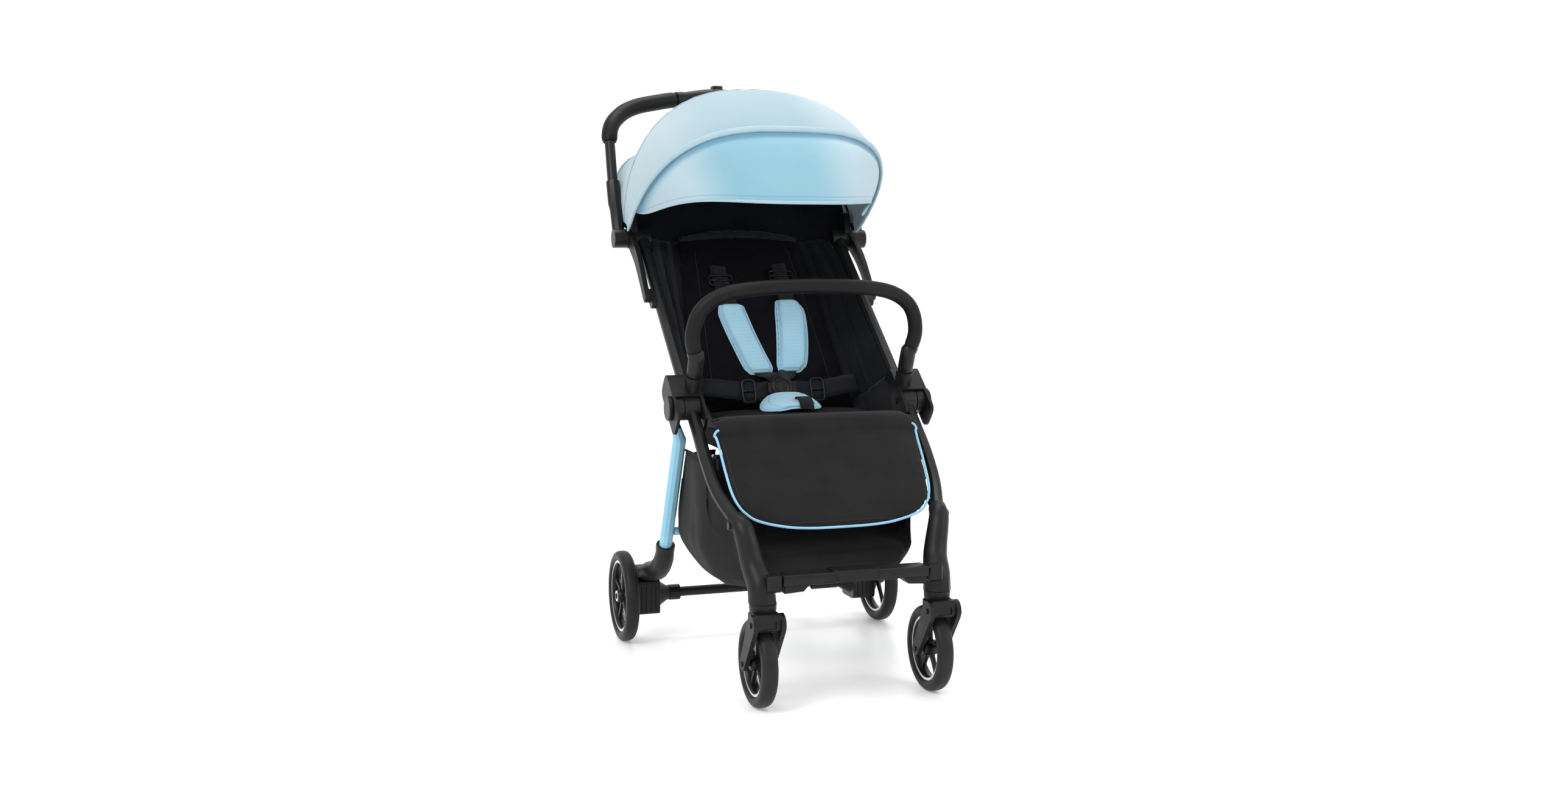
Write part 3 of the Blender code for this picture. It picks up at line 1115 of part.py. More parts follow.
def make_calf_flap():
    """The padded calf rest in front of the seat, sloping with the front legs."""
    rows, columns = 11, 13
    down = Vector((0, -math.cos(FLAP_PITCH), -math.sin(FLAP_PITCH)))
    out = Vector((0, -math.sin(FLAP_PITCH), math.cos(FLAP_PITCH)))
    start = Vector((0, FLAP_TOP_Y, FLAP_TOP_Z))
    front, back = [], []
    for i in range(rows):
        t = i / (rows - 1)
        f_row, b_row = [], []
        for j in range(columns):
            u = -1 + 2 * j / (columns - 1)
            along = FLAP_LENGTH * t + 0.010 * (1 - u * u) * t ** 2
            swell = 0.0045 * (1 - u ** 4) * math.sin(math.pi * min(1.0, t + 0.04))
            point = start + down * along + Vector((u * flap_half_width(t), 0, 0))
            f_row.append(point + out * swell)
            b_row.append(point - out * FLAP_THICKNESS)
        front.append(f_row)
        back.append(b_row)
    pivot = (0, SEAT_FRONT_Y - FIT_GAP, FLAP_HINGE_Z)
    place("calf_flap", cushion(front, back), "charcoal_fabric", pivot, 60)


def pad_solid(centre_line, half_widths, lift, thickness, across):
    """A small shaped pad along a line: its edge is thin and its middle is full."""
    columns = 7
    front, back = [], []
    for (point, normal), half in zip(centre_line, half_widths):
        f_row, b_row = [], []
        for j in range(columns):
            u = -1 + 2 * j / (columns - 1)
            full = 1 - abs(u) ** 3
            f_row.append(point + across * (u * half) + normal * (lift + thickness * (0.35 + 0.65 * full)))
            b_row.append(point + across * (u * half) + normal * lift)
        front.append(f_row)
        back.append(b_row)
    return cushion(front, back)


def make_shoulder_pad(side):
    """A shoulder pad lying on the backrest and leaning in towards the buckle."""
    normal = Vector((0, *(Vector(seat_back_line(0, 1)) - Vector(seat_back_line(0)))))
    steps = 9
    line, halves = [], []
    for i in range(steps):
        t = i / (steps - 1)
        along = PAD_TOP_ALONG + (PAD_LOW_ALONG - PAD_TOP_ALONG) * t
        x = side * (PAD_TOP_X + (PAD_LOW_X - PAD_TOP_X) * t)
        line.append((Vector((x, *seat_back_line(along))), normal))
        halves.append(PAD_HALF_WIDTH * math.sin(math.pi * (0.10 + 0.80 * t)) ** 0.35)
    pad = pad_solid(line, halves, BACKREST_CROWN + FIT_GAP, PAD_THICKNESS, Vector((1, 0, 0)))
    place(f"shoulder_pad_{side_name(side)}", pad, "blue_fabric", (0, RECLINE_Y, RECLINE_Z), 60)


def make_crotch_pad_and_buckle():
    """The crotch pad lies on the seat and lifts towards the buckle, whose strap stands on the cushion."""
    line, halves = [], []
    steps = 7
    for i in range(steps):
        t = i / (steps - 1)
        y = CROTCH_FRONT_Y + (CROTCH_REAR_Y - CROTCH_FRONT_Y) * t
        angle = math.radians(35 * t)
        normal = Vector((0, -math.sin(angle), math.cos(angle)))
        top = SEAT_TOP_Z - SEAT_EDGE_DROP + SEAT_CROWN + FIT_GAP
        line.append((Vector((0, y, top + CROTCH_LIFT * t ** 1.6)), normal))
        halves.append(CROTCH_HALF_WIDTH * math.sin(math.pi * (0.12 + 0.76 * t)) ** 0.5)
    pad = pad_solid(line, halves, 0.0, CROTCH_THICKNESS, Vector((1, 0, 0)))
    place("crotch_pad", pad, "blue_fabric", smooth=60)
    half_x, half_y, half_z = (size / 2 for size in BUCKLE_SIZE)
    body = block((-half_x, BUCKLE_Y - half_y, BUCKLE_Z - half_z),
                 (half_x, BUCKLE_Y + half_y, BUCKLE_Z + half_z), 0.004)
    press = turned([(0.0, 0.009), (0.002, 0.008)], Vector((0, BUCKLE_Y - half_y + 0.0002, BUCKLE_Z)),
                   Vector((0, -1, 0)), 16)
    wide, thick = BUCKLE_STRAP
    strap = block((-wide / 2, BUCKLE_Y + 0.001, seat_surface(BUCKLE_Y) + FIT_GAP),
                  (wide / 2, BUCKLE_Y + 0.001 + thick, BUCKLE_Z - half_z + 0.003))
    place("harness_buckle", combine([body, press, strap]), "black_plastic")


def side_outline(corners, x_of):
    return [Vector((x_of(z), y, z)) for y, z in corners]


def inset_outline(corners, distance):
    """A polygon in the side view moved inwards by the same distance along every edge."""
    points = [Vector(c) for c in corners]
    count = len(points)
    turn = sum(points[i - 1].x * points[i].y - points[i].x * points[i - 1].y for i in range(count))
    moved = []
    for i in range(count):
        before = (points[i] - points[i - 1]).normalized()
        after = (points[(i + 1) % count] - points[i]).normalized()
        inward = Vector((-before.y - after.y, before.x + after.x)) * math.copysign(1.0, turn)
        inward.normalize()
        side = Vector((-before.y, before.x)) * math.copysign(1.0, turn)
        moved.append(tuple(points[i] + inward * distance / max(0.35, inward.dot(side))))
    return moved


def hanging_outline(corners):
    """An open outline with its inner corners cut off, as cloth hangs in a curve."""
    points = [corners[0]]
    for before, here, after in zip(corners, corners[1:], corners[2:]):
        here = Vector(here)
        points.append(tuple(here.lerp(Vector(before), BASKET_SAG)))
        points.append(tuple(here.lerp(Vector(after), BASKET_SAG)))
    return points + [corners[-1]]


def make_basket():
    """The shopping basket: cloth walls under the seat, open on top and at the back."""
    crossbar_back = CROSSBAR_Y + CROSSBAR_DEPTH / 2 + FIT_GAP
    corners = [(crossbar_back, BASKET_TOP_Z)]
    corners += [(crossbar_back + forward, z) for forward, z in BASKET_FRONT]
    corners = hanging_outline(corners + BASKET_FLOOR + BASKET_BACK)

    def half_width(z):
        spread = max(0.0, min(1.0, (z - BASKET_LOW_Z) / BASKET_SLOPE))
        return BASKET_LOW_HALF + (BASKET_HIGH_HALF - BASKET_LOW_HALF) * spread

    outside = loft([side_outline(corners, lambda z: -half_width(z)), side_outline(corners, half_width)])
    inner = inset_outline(corners, BASKET_FABRIC)
    inner[0] = (inner[0][0], BASKET_TOP_Z + 0.02)
    inner[-1] = (inner[-1][0], BASKET_TOP_Z + 0.02)
    inside = loft([side_outline(inner, lambda z: BASKET_FABRIC - half_width(z)),
                   side_outline(inner, lambda z: half_width(z) - BASKET_FABRIC)])
    mouth = block((-BASKET_MOUTH_HALF, BASKET_MOUTH_Y, BASKET_MOUTH_Z),
                  (BASKET_MOUTH_HALF, BASKET_MOUTH_Y + 0.12, BASKET_TOP_Z + 0.02))
    place("basket", combine([outside], [inside, mouth]), "black_fabric", smooth=30)


# Canopy


def arch_point(angle, t, radius, half=CANOPY_HALF_WIDTH - FABRIC):
    """A point on an arch that is turned by angle about the tip line; t runs from one tip to the other."""
    c, s = math.cos(t), math.sin(t)
    across = -math.copysign(abs(c) ** (2 / CANOPY_SQUARENESS), c) * half
    rise = abs(s) ** (2 / CANOPY_SQUARENESS) * radius
    return Vector((across, CANOPY_Y + rise * math.cos(angle), CANOPY_Z + rise * math.sin(angle)))


def canopy_inner_x(reach):
    """How far out the inside of the cloth is, at the narrowest arch, this far from the tip line."""
    t = math.asin((reach / REAR_RADIUS) ** (CANOPY_SQUARENESS / 2))
    return math.cos(t) ** (2 / CANOPY_SQUARENESS) * (CANOPY_HALF_WIDTH - FABRIC)


def arch_steps(radius, count=ARCH_POINTS):
    """Steps along an arch that stop where the cloth reaches the knuckle's lug at each tip."""
    end = math.asin((CANOPY_REACH / radius) ** (CANOPY_SQUARENESS / 2))
    return [end + (math.pi - 2 * end) * i / (count - 1) for i in range(count)]


def make_canopy_visor():
    """The front bow and the visor in front of it, whose hem dips towards the middle."""
    grid = []
    rows = 6
    for i in range(rows):
        f = i / (rows - 1)
        row = []
        for t in arch_steps(BOW_RADIUS):
            reach = math.sin(t)
            angle = BOW_ANGLE + SEAM_GAP + HEM_TURN * f * reach ** 0.4
            row.append(arch_point(angle, t, BOW_RADIUS + (HEM_RADIUS - BOW_RADIUS) * f * reach))
        grid.append(row)
    place("canopy_visor", sheet(grid, FABRIC), "blue_fabric", (0, CANOPY_Y, CANOPY_Z), 60)


def canopy_band(low, low_radius, high, high_radius, count=6, sag=0.006):
    """A panel between two arches, drawn in a little between them as stretched cloth is."""
    grid = []
    for i in range(count):
        f = i / (count - 1)
        angle = high + (low - high) * f
        radius = high_radius + (low_radius - high_radius) * f - sag * math.sin(math.pi * f)
        grid.append([arch_point(angle, t, radius) for t in arch_steps(radius)])
    return grid


def make_rear_panel():
    """The dark cloth that hangs from the rear arch down to the top of the backrest."""
    front, back = [], []
    rows = 6
    for i in range(rows):
        f = i / (rows - 1)
        f_row, b_row = [], []
        for t in arch_steps(REAR_RADIUS, 15):
            high = arch_point(REAR_ANGLE - SEAM_GAP * 4, t, REAR_RADIUS)
            u = -math.cos(t)
            y, z = seat_back_line(BACKREST_LENGTH + 0.014 * (1 - u * u) + FIT_GAP, -0.004)
            low = Vector((u * (MAIN_TUBE_X - MAIN_TUBE_RADIUS - 0.012), y, z))
            point = high.lerp(low, f)
            point.y += 0.010 * math.sin(math.pi * f) * math.sin(6 * t)
            f_row.append(point)
            b_row.append(point + Vector((0, FABRIC, 0)))
        front.append(f_row)
        back.append(b_row)
    place("rear_panel", cushion(front, back), "black_fabric", (0, CANOPY_Y, CANOPY_Z), 60)


def make_canopy():
    make_canopy_visor()
    panel = canopy_band(TOP_ANGLE + SEAM_GAP, TOP_RADIUS, BOW_ANGLE - SEAM_GAP, BOW_RADIUS)
    place("canopy_panel", sheet(panel[::-1], FABRIC), "blue_fabric", (0, CANOPY_Y, CANOPY_Z), 60)
    rear = canopy_band(REAR_ANGLE, REAR_RADIUS, TOP_ANGLE - SEAM_GAP, TOP_RADIUS)
    place("canopy_rear", sheet(rear[::-1], FABRIC), "blue_fabric", (0, CANOPY_Y, CANOPY_Z), 60)
    make_rear_panel()


def build_all():
    for side in (-1, 1):
        make_front_leg(side)
        make_leg_casting(side)
        make_hub_housing(side)
        make_hub_cap(side)
        make_main_tube(side)
        make_knuckle(side)
        make_handle_sleeve(side)
        make_caster(side)
        make_wheel("front", side, side * FRONT_TRACK / 2, 0.0, FRONT_WHEEL_RADIUS, FRONT_WHEEL_WIDTH)
        make_wheel("rear", side, side * REAR_TRACK / 2, WHEELBASE, REAR_WHEEL_RADIUS, REAR_WHEEL_WIDTH)
        make_rear_leg(side)
        make_rear_socket(side)
        make_axle_housing(side)
        make_seat_side(side)
        make_shoulder_pad(side)
    make_front_beam()
    make_seat_crossbar()
    make_handle()
    make_bumper()
    make_rear_cross_members()
    make_brake_pedal()
    make_seat_pad()
    make_backrest()
    make_calf_flap()
    make_crotch_pad_and_buckle()
    make_basket()
    make_canopy()


clear_scene()
MATERIALS = {name: make_material(name) for name in COLOURS}
STROLLER = bpy.data.objects.new("stroller", None)
STROLLER.location = (0, ORIGIN_Y, 0)
bpy.context.scene.collection.objects.link(STROLLER)
build_all()
bpy.context.view_layer.update()
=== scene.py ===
# %% [markdown]
# A lightweight stroller, dressed for its photograph.
# The rigid frame was drawn in CAD first, with real joints. Here that frame is loaded, given finishes, and
# dressed with the things that CAD leaves plain: tensioned canopy cloth, stuffed pads, webbing, piping, tyres.
# Most new pieces are told which moving body carries them, so that the stroller still folds.

import json
import math

import bmesh
import bpy
import numpy as np
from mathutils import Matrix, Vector, noise


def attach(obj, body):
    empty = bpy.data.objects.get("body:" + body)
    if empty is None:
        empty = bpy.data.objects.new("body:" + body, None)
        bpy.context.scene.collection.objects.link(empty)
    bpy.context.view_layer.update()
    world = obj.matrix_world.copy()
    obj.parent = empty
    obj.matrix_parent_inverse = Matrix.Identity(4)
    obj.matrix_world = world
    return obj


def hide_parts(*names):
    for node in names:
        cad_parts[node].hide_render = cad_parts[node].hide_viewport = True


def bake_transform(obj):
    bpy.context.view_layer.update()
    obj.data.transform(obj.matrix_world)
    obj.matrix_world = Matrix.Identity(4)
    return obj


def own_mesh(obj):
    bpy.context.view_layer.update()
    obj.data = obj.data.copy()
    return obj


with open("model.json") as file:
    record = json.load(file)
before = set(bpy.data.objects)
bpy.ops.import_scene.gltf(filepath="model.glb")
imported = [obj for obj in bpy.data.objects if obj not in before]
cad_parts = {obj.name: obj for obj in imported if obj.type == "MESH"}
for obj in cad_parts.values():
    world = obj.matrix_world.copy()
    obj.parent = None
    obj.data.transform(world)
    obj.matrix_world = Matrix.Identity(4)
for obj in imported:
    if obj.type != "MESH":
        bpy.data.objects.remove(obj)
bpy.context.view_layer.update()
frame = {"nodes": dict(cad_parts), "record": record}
nodes = frame["nodes"]
scene = bpy.context.scene

# %% [markdown]
# All heights are from the floor, and distances back are from the front axle, as on the drawing. One helper
# turns such a place into the frame's own coordinates, and three more follow the main tube, the backrest and
# the calf rest, because most pieces lie along one of them.

# %% Places on the stroller
FRONT_AXLE_Y = -0.3337827
HUB_Y, HUB_Z = 0.218, 0.453
MAIN_PITCH = math.radians(40.1)
BACK_PITCH = math.radians(52.0)
FLAP_PITCH = math.radians(50.0)
BITE_Y, SEAT_Z = 0.345, 0.440
FLAP_Y, FLAP_Z = 0.1304, 0.4165


def at(x, y, z):
    return Vector((x, y + FRONT_AXLE_Y, z))


def along_main(x, along, across=0.0):
    """Along the main tube from the hub, and across it to the front."""
    c, s = math.cos(MAIN_PITCH), math.sin(MAIN_PITCH)
    return at(x, HUB_Y + along * c - across * s, HUB_Z + along * s + across * c)


def on_back(x, along, out=0.0):
    """Up the backrest from the seat bite, and out of its face."""
    c, s = math.cos(BACK_PITCH), math.sin(BACK_PITCH)
    return at(x, BITE_Y + along * c - out * s, SEAT_Z + along * s + out * c)


def on_flap(x, down, out=0.0):
    """Down the calf rest from its hinge, and out of its face."""
    c, s = math.cos(FLAP_PITCH), math.sin(FLAP_PITCH)
    return at(x, FLAP_Y - down * c - out * s, FLAP_Z - down * s + out * c)


print("the hubs are", HUB_Z, "m above the floor")

# %% [markdown]
# The camera comes first, because every later choice is judged through it. Its place was solved from points
# that are easy to find both on the photograph and on the frame: wheels, hubs, the ends of the beam. It stands
# 2.8 m away, and that distance, more than the lens, is what keeps the front legs from looking splayed.

# %% Camera
camera = bpy.data.objects.new("camera", bpy.data.cameras.new("camera"))
scene.collection.objects.link(camera)
camera.location = (-0.8849, -2.6199, 0.7178)
camera.rotation_euler = (math.radians(90 - 5.504), 0.0, math.radians(-18.854))
camera.data.lens = 35.84
camera.data.sensor_width = 36.0
camera.data.clip_start = 0.05
scene.camera = camera
print("camera looks down by 5.5 degrees and to the right by 18.9")

# %% [markdown]
# A product photograph like this one is made in a white room: light from everywhere, large soft lamps to draw
# the highlights along the tubes, the strongest on the left, and a floor that keeps only the contact shadows.
# The floor is one plane, a little glossy so that the wheels leave a faint reflection.

# %% Studio
scene.view_settings.view_transform = "Standard"
world = bpy.data.worlds.new("studio")
world.use_nodes = True
white_room = world.node_tree.nodes["Background"].inputs
white_room["Color"].default_value = (1.0, 1.0, 1.0, 1.0)
white_room["Strength"].default_value = 1.02
scene.world = world


def soft_lamp(name, place, target, size, power):
    lamp = bpy.data.objects.new(name, bpy.data.lights.new(name, "AREA"))
    lamp.data.shape, lamp.data.size, lamp.data.energy = "DISK", size, power
    lamp.location = place
    lamp.rotation_euler = (Vector(target) - Vector(place)).to_track_quat("-Z", "Y").to_euler()
    scene.collection.objects.link(lamp)


soft_lamp("key lamp", (-1.9, -1.6, 2.3), (0, 0, 0.5), 1.3, 42)
soft_lamp("fill lamp", (2.2, -1.9, 1.5), (0, 0, 0.5), 1.6, 20)
soft_lamp("top lamp", (0.2, 0.5, 2.8), (0, 0, 0.6), 1.5, 30)

FLOOR_HALF = 30
floor_corners = [(x * FLOOR_HALF, y * FLOOR_HALF, 0) for x, y in ((-1, -1), (1, -1), (1, 1), (-1, 1))]
floor_mesh = bpy.data.meshes.new("floor")
floor_mesh.from_pydata(floor_corners, [], [(0, 1, 2, 3)])
floor = bpy.data.objects.new("floor", floor_mesh)
scene.collection.objects.link(floor)
print("three lamps over a floor", 2 * FLOOR_HALF, "m wide")

# %% [markdown]
# Materials are written as sums. A field wraps one socket of a material, and adding, multiplying or comparing
# fields adds the Math nodes, so that a weave reads like its formula. A finish owns one material: it makes
# every other kind of node and wires what varies into the shader.

# %% A small language for materials


class Field:
    """A value on its way through a material; arithmetic on it adds nodes."""

    def __init__(self, finish, socket):
        self.finish, self.socket = finish, socket

    def math(self, operation, other=0.0, swap=False):
        first, second = (other, self) if swap else (self, other)
        return self.finish.node("ShaderNodeMath", {"operation": operation}, {0: first, 1: second})

    def __add__(self, other):
        return self.math("ADD", other)

    def __sub__(self, other):
        return self.math("SUBTRACT", other)

    def __rsub__(self, other):
        return self.math("SUBTRACT", other, swap=True)

    def __mul__(self, other):
        return self.math("MULTIPLY", other)

    def __truediv__(self, other):
        return self.math("DIVIDE", other)

    def __rtruediv__(self, other):
        return self.math("DIVIDE", other, swap=True)

    def __pow__(self, other):
        return self.math("POWER", other)

    def __lt__(self, other):
        return self.math("LESS_THAN", other)

    def __gt__(self, other):
        return self.math("GREATER_THAN", other)

    __radd__, __rmul__ = __add__, __mul__

    def sine(self):
        return self.math("SINE")

    def fraction(self):
        return self.math("FRACT")

    def size(self):
        return self.math("ABSOLUTE")


class Finish:
    """One material, with its colour, roughness and the nodes that vary them."""

    def __init__(self, name, colour, roughness, metallic=0.0, **fixed):
        self.material = bpy.data.materials.new(name)
        self.material.use_nodes = True
        self.tree = self.material.node_tree
        self.shader = self.tree.nodes["Principled BSDF"]
        self.colour = (*colour, 1.0)
        self.shader.inputs["Base Color"].default_value = self.colour
        self.shader.inputs["Roughness"].default_value = roughness
        self.shader.inputs["Metallic"].default_value = metallic
        self.material.diffuse_color = self.colour
        for socket, value in fixed.items():
            self.shader.inputs[socket.replace("_", " ")].default_value = value

    def node(self, kind, settings, inputs, output=0):
        made = self.tree.nodes.new(kind)
        for setting, value in settings.items():
            setattr(made, setting, value)
        for socket, value in inputs.items():
            if isinstance(value, Field):
                self.tree.links.new(value.socket, made.inputs[socket])
            else:
                made.inputs[socket].default_value = value
        return Field(self, made.outputs[output])

    def here(self):
        """The place on the piece, in metres."""
        return self.node("ShaderNodeTexCoord", {}, {}, "Object")

    def cloth(self):
        """The place on the flat cloth: along a seam, in from it, and in from the other edge."""
        return self.node("ShaderNodeAttribute", {"attribute_name": "cloth"}, {}, "Vector")

    def parts(self, place):
        split = self.node("ShaderNodeSeparateXYZ", {}, {0: place}).socket.node
        return [Field(self, socket) for socket in split.outputs]

    def speckle(self, place, scale, detail=2.0, roughness=0.5):
        return self.node("ShaderNodeTexNoise", {}, {"Vector": place, "Scale": scale, "Detail": detail,
                                                    "Roughness": roughness}, "Fac")

    def ramp(self, field, low, high, to_low=0.0, to_high=1.0):
        return self.node("ShaderNodeMapRange", {"interpolation_type": "SMOOTHSTEP"},
                         {0: field, 1: low, 2: high, 3: to_low, 4: to_high})

    def blend(self, factor, first, second):
        """Two colours mixed by a field."""
        inputs = {0: factor, 6: (*first, 1.0) if isinstance(first, tuple) else first,
                  7: (*second, 1.0) if isinstance(second, tuple) else second}
        return self.node("ShaderNodeMix", {"data_type": "RGBA"}, inputs, 2)

    def vary(self, socket, field):
        self.tree.links.new(field.socket, self.shader.inputs[socket])
        return self

    def relief(self, height, depth):
        """Raise the surface by height times depth, in metres."""
        bump = self.node("ShaderNodeBump", {}, {"Height": height, "Distance": depth, "Strength": 1.0})
        return self.vary("Normal", bump)


print("a field stands for a number that varies, and a finish for one material")

# %% [markdown]
# The floor is nearly white paper. Its gloss varies a little with a very wide noise, as painted boards do, and
# it brightens with distance, as the sweep of paper behind a product does, so that no horizon shows.

# %% Floor finish
floor_finish = Finish("studio floor", (0.93, 0.93, 0.935), 0.32, Specular_IOR_Level=0.35)
floor_place = floor_finish.here()
floor_finish.vary("Roughness", floor_finish.speckle(floor_place, 0.8) * 0.12 + 0.26)
floor_x, floor_y, _ = floor_finish.parts(floor_place)
far_off = floor_finish.ramp((floor_x * floor_x + floor_y * floor_y) ** 0.5, 0.9, 2.6)
floor_finish.shader.inputs["Emission Strength"].default_value = 1.0
floor_finish.vary("Emission Color", floor_finish.blend(far_off, (0.17, 0.17, 0.17), (0.19, 0.19, 0.19)))
floor_mesh.materials.append(floor_finish.material)
print("floor wears", floor_finish.material.name)

# %% [markdown]
# Cloth. A plain weave is two sets of yarns that take turns on top: the product of two sines gives exactly
# that chequer of small hills. Sheets carry their flat coordinates, so their yarns run with the cut. Sewing is
# drawn the same way: a stitch is where the distance to a seam is small and the distance along it is within
# one dash.

# %% Sheet cloth


def weave_on_cloth(finish, pitch):
    along, inward, _ = finish.parts(finish.cloth())
    return (along * (math.pi / pitch)).sine() * (inward * (math.pi / pitch)).sine()


STITCH_PITCH, STITCH_HALF_WIDE, STITCH_SHARE = 0.0042, 0.00045, 0.68
# Painted sheen towards the ends of the rows: how far its middle is shifted, where it starts and where it is
# full
SHEEN_SHIFT, SHEEN_FROM, SHEEN_TO = 0.055, 0.06, 0.17
# Painted shade near the first edge: where it is full, where it has gone, and how strong it is at most
EDGE_SHADE_FROM, EDGE_SHADE_TO, EDGE_SHADE_SHARE = 0.006, 0.026, 0.85
SHEET_RELIEF = 0.00016


def stitches(finish, along, off, seam_at):
    """1 on each stitch of a seam that runs this far off an edge."""
    near = (off - seam_at).size() < STITCH_HALF_WIDE
    return near * ((along / STITCH_PITCH).fraction() < STITCH_SHARE)


def darker(colour, share):
    return tuple(share * c for c in colour)


def sewn_cloth(name, colour, shade, pitch, seams, thread, roughness=0.86, mottle=9.0, sheen=0.25,
               painted_sheen=None, painted_shade=None):
    """Woven sheet cloth with rows of stitches: seams are distances in from its first and second edges.
    Painted sheen can make it paler towards both ends of its rows, and painted shade darker close to its first
    edge."""
    finish = Finish(name, colour, roughness, Sheen_Weight=sheen, Sheen_Roughness=0.5, Specular_IOR_Level=0.12)
    along, first, second = finish.parts(finish.cloth())
    place = finish.here()
    tone = finish.ramp(finish.speckle(place, mottle, 3.0), 0.3, 0.7)
    yarn = weave_on_cloth(finish, pitch)
    rows = None
    for edge, distance in seams:
        row = stitches(finish, along, first if edge == 1 else second, distance)
        rows = row if rows is None else rows + row
    surface = finish.blend(tone, colour, shade)
    # Painted sheen: the cloth is painted paler towards both ends of its rows, where the light catches it.
    if painted_sheen:
        far_out = (along + SHEEN_SHIFT).size()
        surface = finish.blend(finish.ramp(far_out, SHEEN_FROM, SHEEN_TO), surface, painted_sheen)
    # Painted shade: the cloth is painted darker close to its first edge, where the visor dips under the band on
    # the bow.
    if painted_shade:
        near_edge = finish.ramp(first, EDGE_SHADE_FROM, EDGE_SHADE_TO, EDGE_SHADE_SHARE, 0.0)
        surface = finish.blend(near_edge, surface, painted_shade)
    surface = finish.blend(yarn * 0.10 + 0.10, surface, darker(shade, 0.55))
    height = yarn * 0.5 + finish.speckle(place, 46.0, 3.0) * 3.0
    if rows is not None:
        surface = finish.blend(rows, surface, thread)
        height = height + rows * 2.0
    finish.vary("Base Color", surface)
    finish.vary("Roughness", finish.speckle(place, 60.0) * 0.10 + (roughness - 0.05))
    return finish.relief(height, SHEET_RELIEF)


# The top cloth is the visor's blue painted paler and greyer: painted sheen on top of the canopy, paler still
# towards its ends.
BLUE, BLUE_SHADE = (0.262, 0.360, 0.405), (0.240, 0.345, 0.395)
PAINTED_SHEEN_BLUE = (0.335, 0.430, 0.475)
VISOR_BLUE, VISOR_SHADE = (0.205, 0.380, 0.455), (0.185, 0.360, 0.445)
BLUE_THREAD = (0.09, 0.23, 0.35)
canopy_cloth = sewn_cloth("canopy cloth", BLUE, BLUE_SHADE, 0.0011, [(1, 0.0078), (2, 0.0078)], BLUE_THREAD,
                          painted_sheen=PAINTED_SHEEN_BLUE)
# The visor is painted paler towards its ends, a painted sheen, and darker next to the bow, a painted shade.
visor_cloth = sewn_cloth("visor cloth", VISOR_BLUE, VISOR_SHADE, 0.0011, [(2, 0.0100)], BLUE_THREAD,
                         painted_sheen=(0.360, 0.470, 0.520), painted_shade=(0.085, 0.230, 0.330))
wing_cloth = sewn_cloth("wing cloth", (0.0062, 0.0072, 0.0105), (0.0030, 0.0034, 0.0054), 0.0014,
                        [(1, 0.0050), (2, 0.0050)], (0.013, 0.013, 0.016), 0.72, 14.0, 0.05)
basket_cloth = sewn_cloth("basket cloth", (0.0115, 0.0115, 0.0118), (0.0085, 0.0085, 0.0088), 0.0016,
                          [(1, 0.0070), (1, 0.0035)], (0.018, 0.018, 0.018), 0.80, 11.0, 0.06)
print("sheet cloth made")

# %% [markdown]
# Padded pieces wear other cloth: matt on the seat, brushed on the calf rest, a fine light blue on the harness
# pads. They are remeshed later and lose their flat coordinates, so their weave is worked out in space. The
# webbing is woven in ribs across its length, so light breaks on it in small steps.

# %% Pad cloth and webbing


def weave_in_space(finish, pitch):
    """The hills of a plain weave, seen from any of three sides."""
    x, y, z = [(part * (math.tau / pitch)).sine() for part in finish.parts(finish.here())]
    return x * y + y * z + z * x


def pad_cloth(name, colour, shade, pitch, roughness=0.88, sheen=0.2, depth=0.00009, gloss=0.12):
    """Cloth over stuffing: its weave is worked out in space, because a remeshed pad has no flat side."""
    finish = Finish(name, colour, roughness, Sheen_Weight=sheen, Specular_IOR_Level=gloss)
    place = finish.here()
    yarn = weave_in_space(finish, pitch)
    tone = finish.ramp(finish.speckle(place, 22.0, 3.0), 0.32, 0.68)
    surface = finish.blend(tone, colour, shade)
    finish.vary("Base Color", finish.blend(yarn * 0.12 + 0.12, surface, darker(shade, 0.6)))
    finish.vary("Roughness", finish.speckle(place, 80.0) * 0.12 + (roughness - 0.06))
    return finish.relief(yarn * 0.5 + finish.speckle(place, 70.0, 3.0) * 3.0, depth)


blue_pad = pad_cloth("harness pad cloth", (0.335, 0.550, 0.675), (0.300, 0.520, 0.655), 0.0013)
black_pad = pad_cloth("seat cloth", (0.0034, 0.0034, 0.0052), (0.0020, 0.0020, 0.0034), 0.0015,
                      0.84, 0.02, gloss=0.07)
charcoal_pad = pad_cloth("calf rest cloth", (0.0105, 0.0105, 0.0108), (0.0080, 0.0080, 0.0083), 0.0015,
                         0.86, 0.08)


def ribbed_webbing(name, colour, roughness=0.62):
    """Harness strap: fine ribs run across it, and a woven edge along each side."""
    finish = Finish(name, colour, roughness, Specular_IOR_Level=0.15, Sheen_Weight=0.05)
    along, off, _ = finish.parts(finish.cloth())
    ribs = (along * (math.tau / 0.0017)).sine()
    edge = finish.ramp(off, 0.0010, 0.0026, 1.0, 0.0)
    finish.vary("Base Color", finish.blend(ribs * 0.2 + 0.2, colour, darker(colour, 0.4)))
    finish.vary("Roughness", finish.speckle(finish.here(), 90.0) * 0.15 + (roughness - 0.07))
    return finish.relief(ribs + edge * 1.5, 0.00020)


canopy_seam = pad_cloth("canopy seam cloth", BLUE, BLUE_SHADE, 0.0010)
band_cloth = pad_cloth("canopy edge cloth", (0.330, 0.450, 0.505), (0.300, 0.430, 0.490), 0.0010)
webbing = ribbed_webbing("harness webbing", (0.0045, 0.0058, 0.0085))
roll_cloth = pad_cloth("roll cloth", (0.0085, 0.0115, 0.0165), (0.0045, 0.0060, 0.0090), 0.0013, 0.55, 0.1)
print("pad cloth and webbing made")

# %% [markdown]
# Hard finishes. Moulded plastic has a fine spark-eroded grain and loses some of it where hands and shoes rub,
# painted tube has a faint orange peel, and foam has open cells. The marks are small, but they are what stops
# a black part from looking like a hole in the picture.

# %% Hard finishes


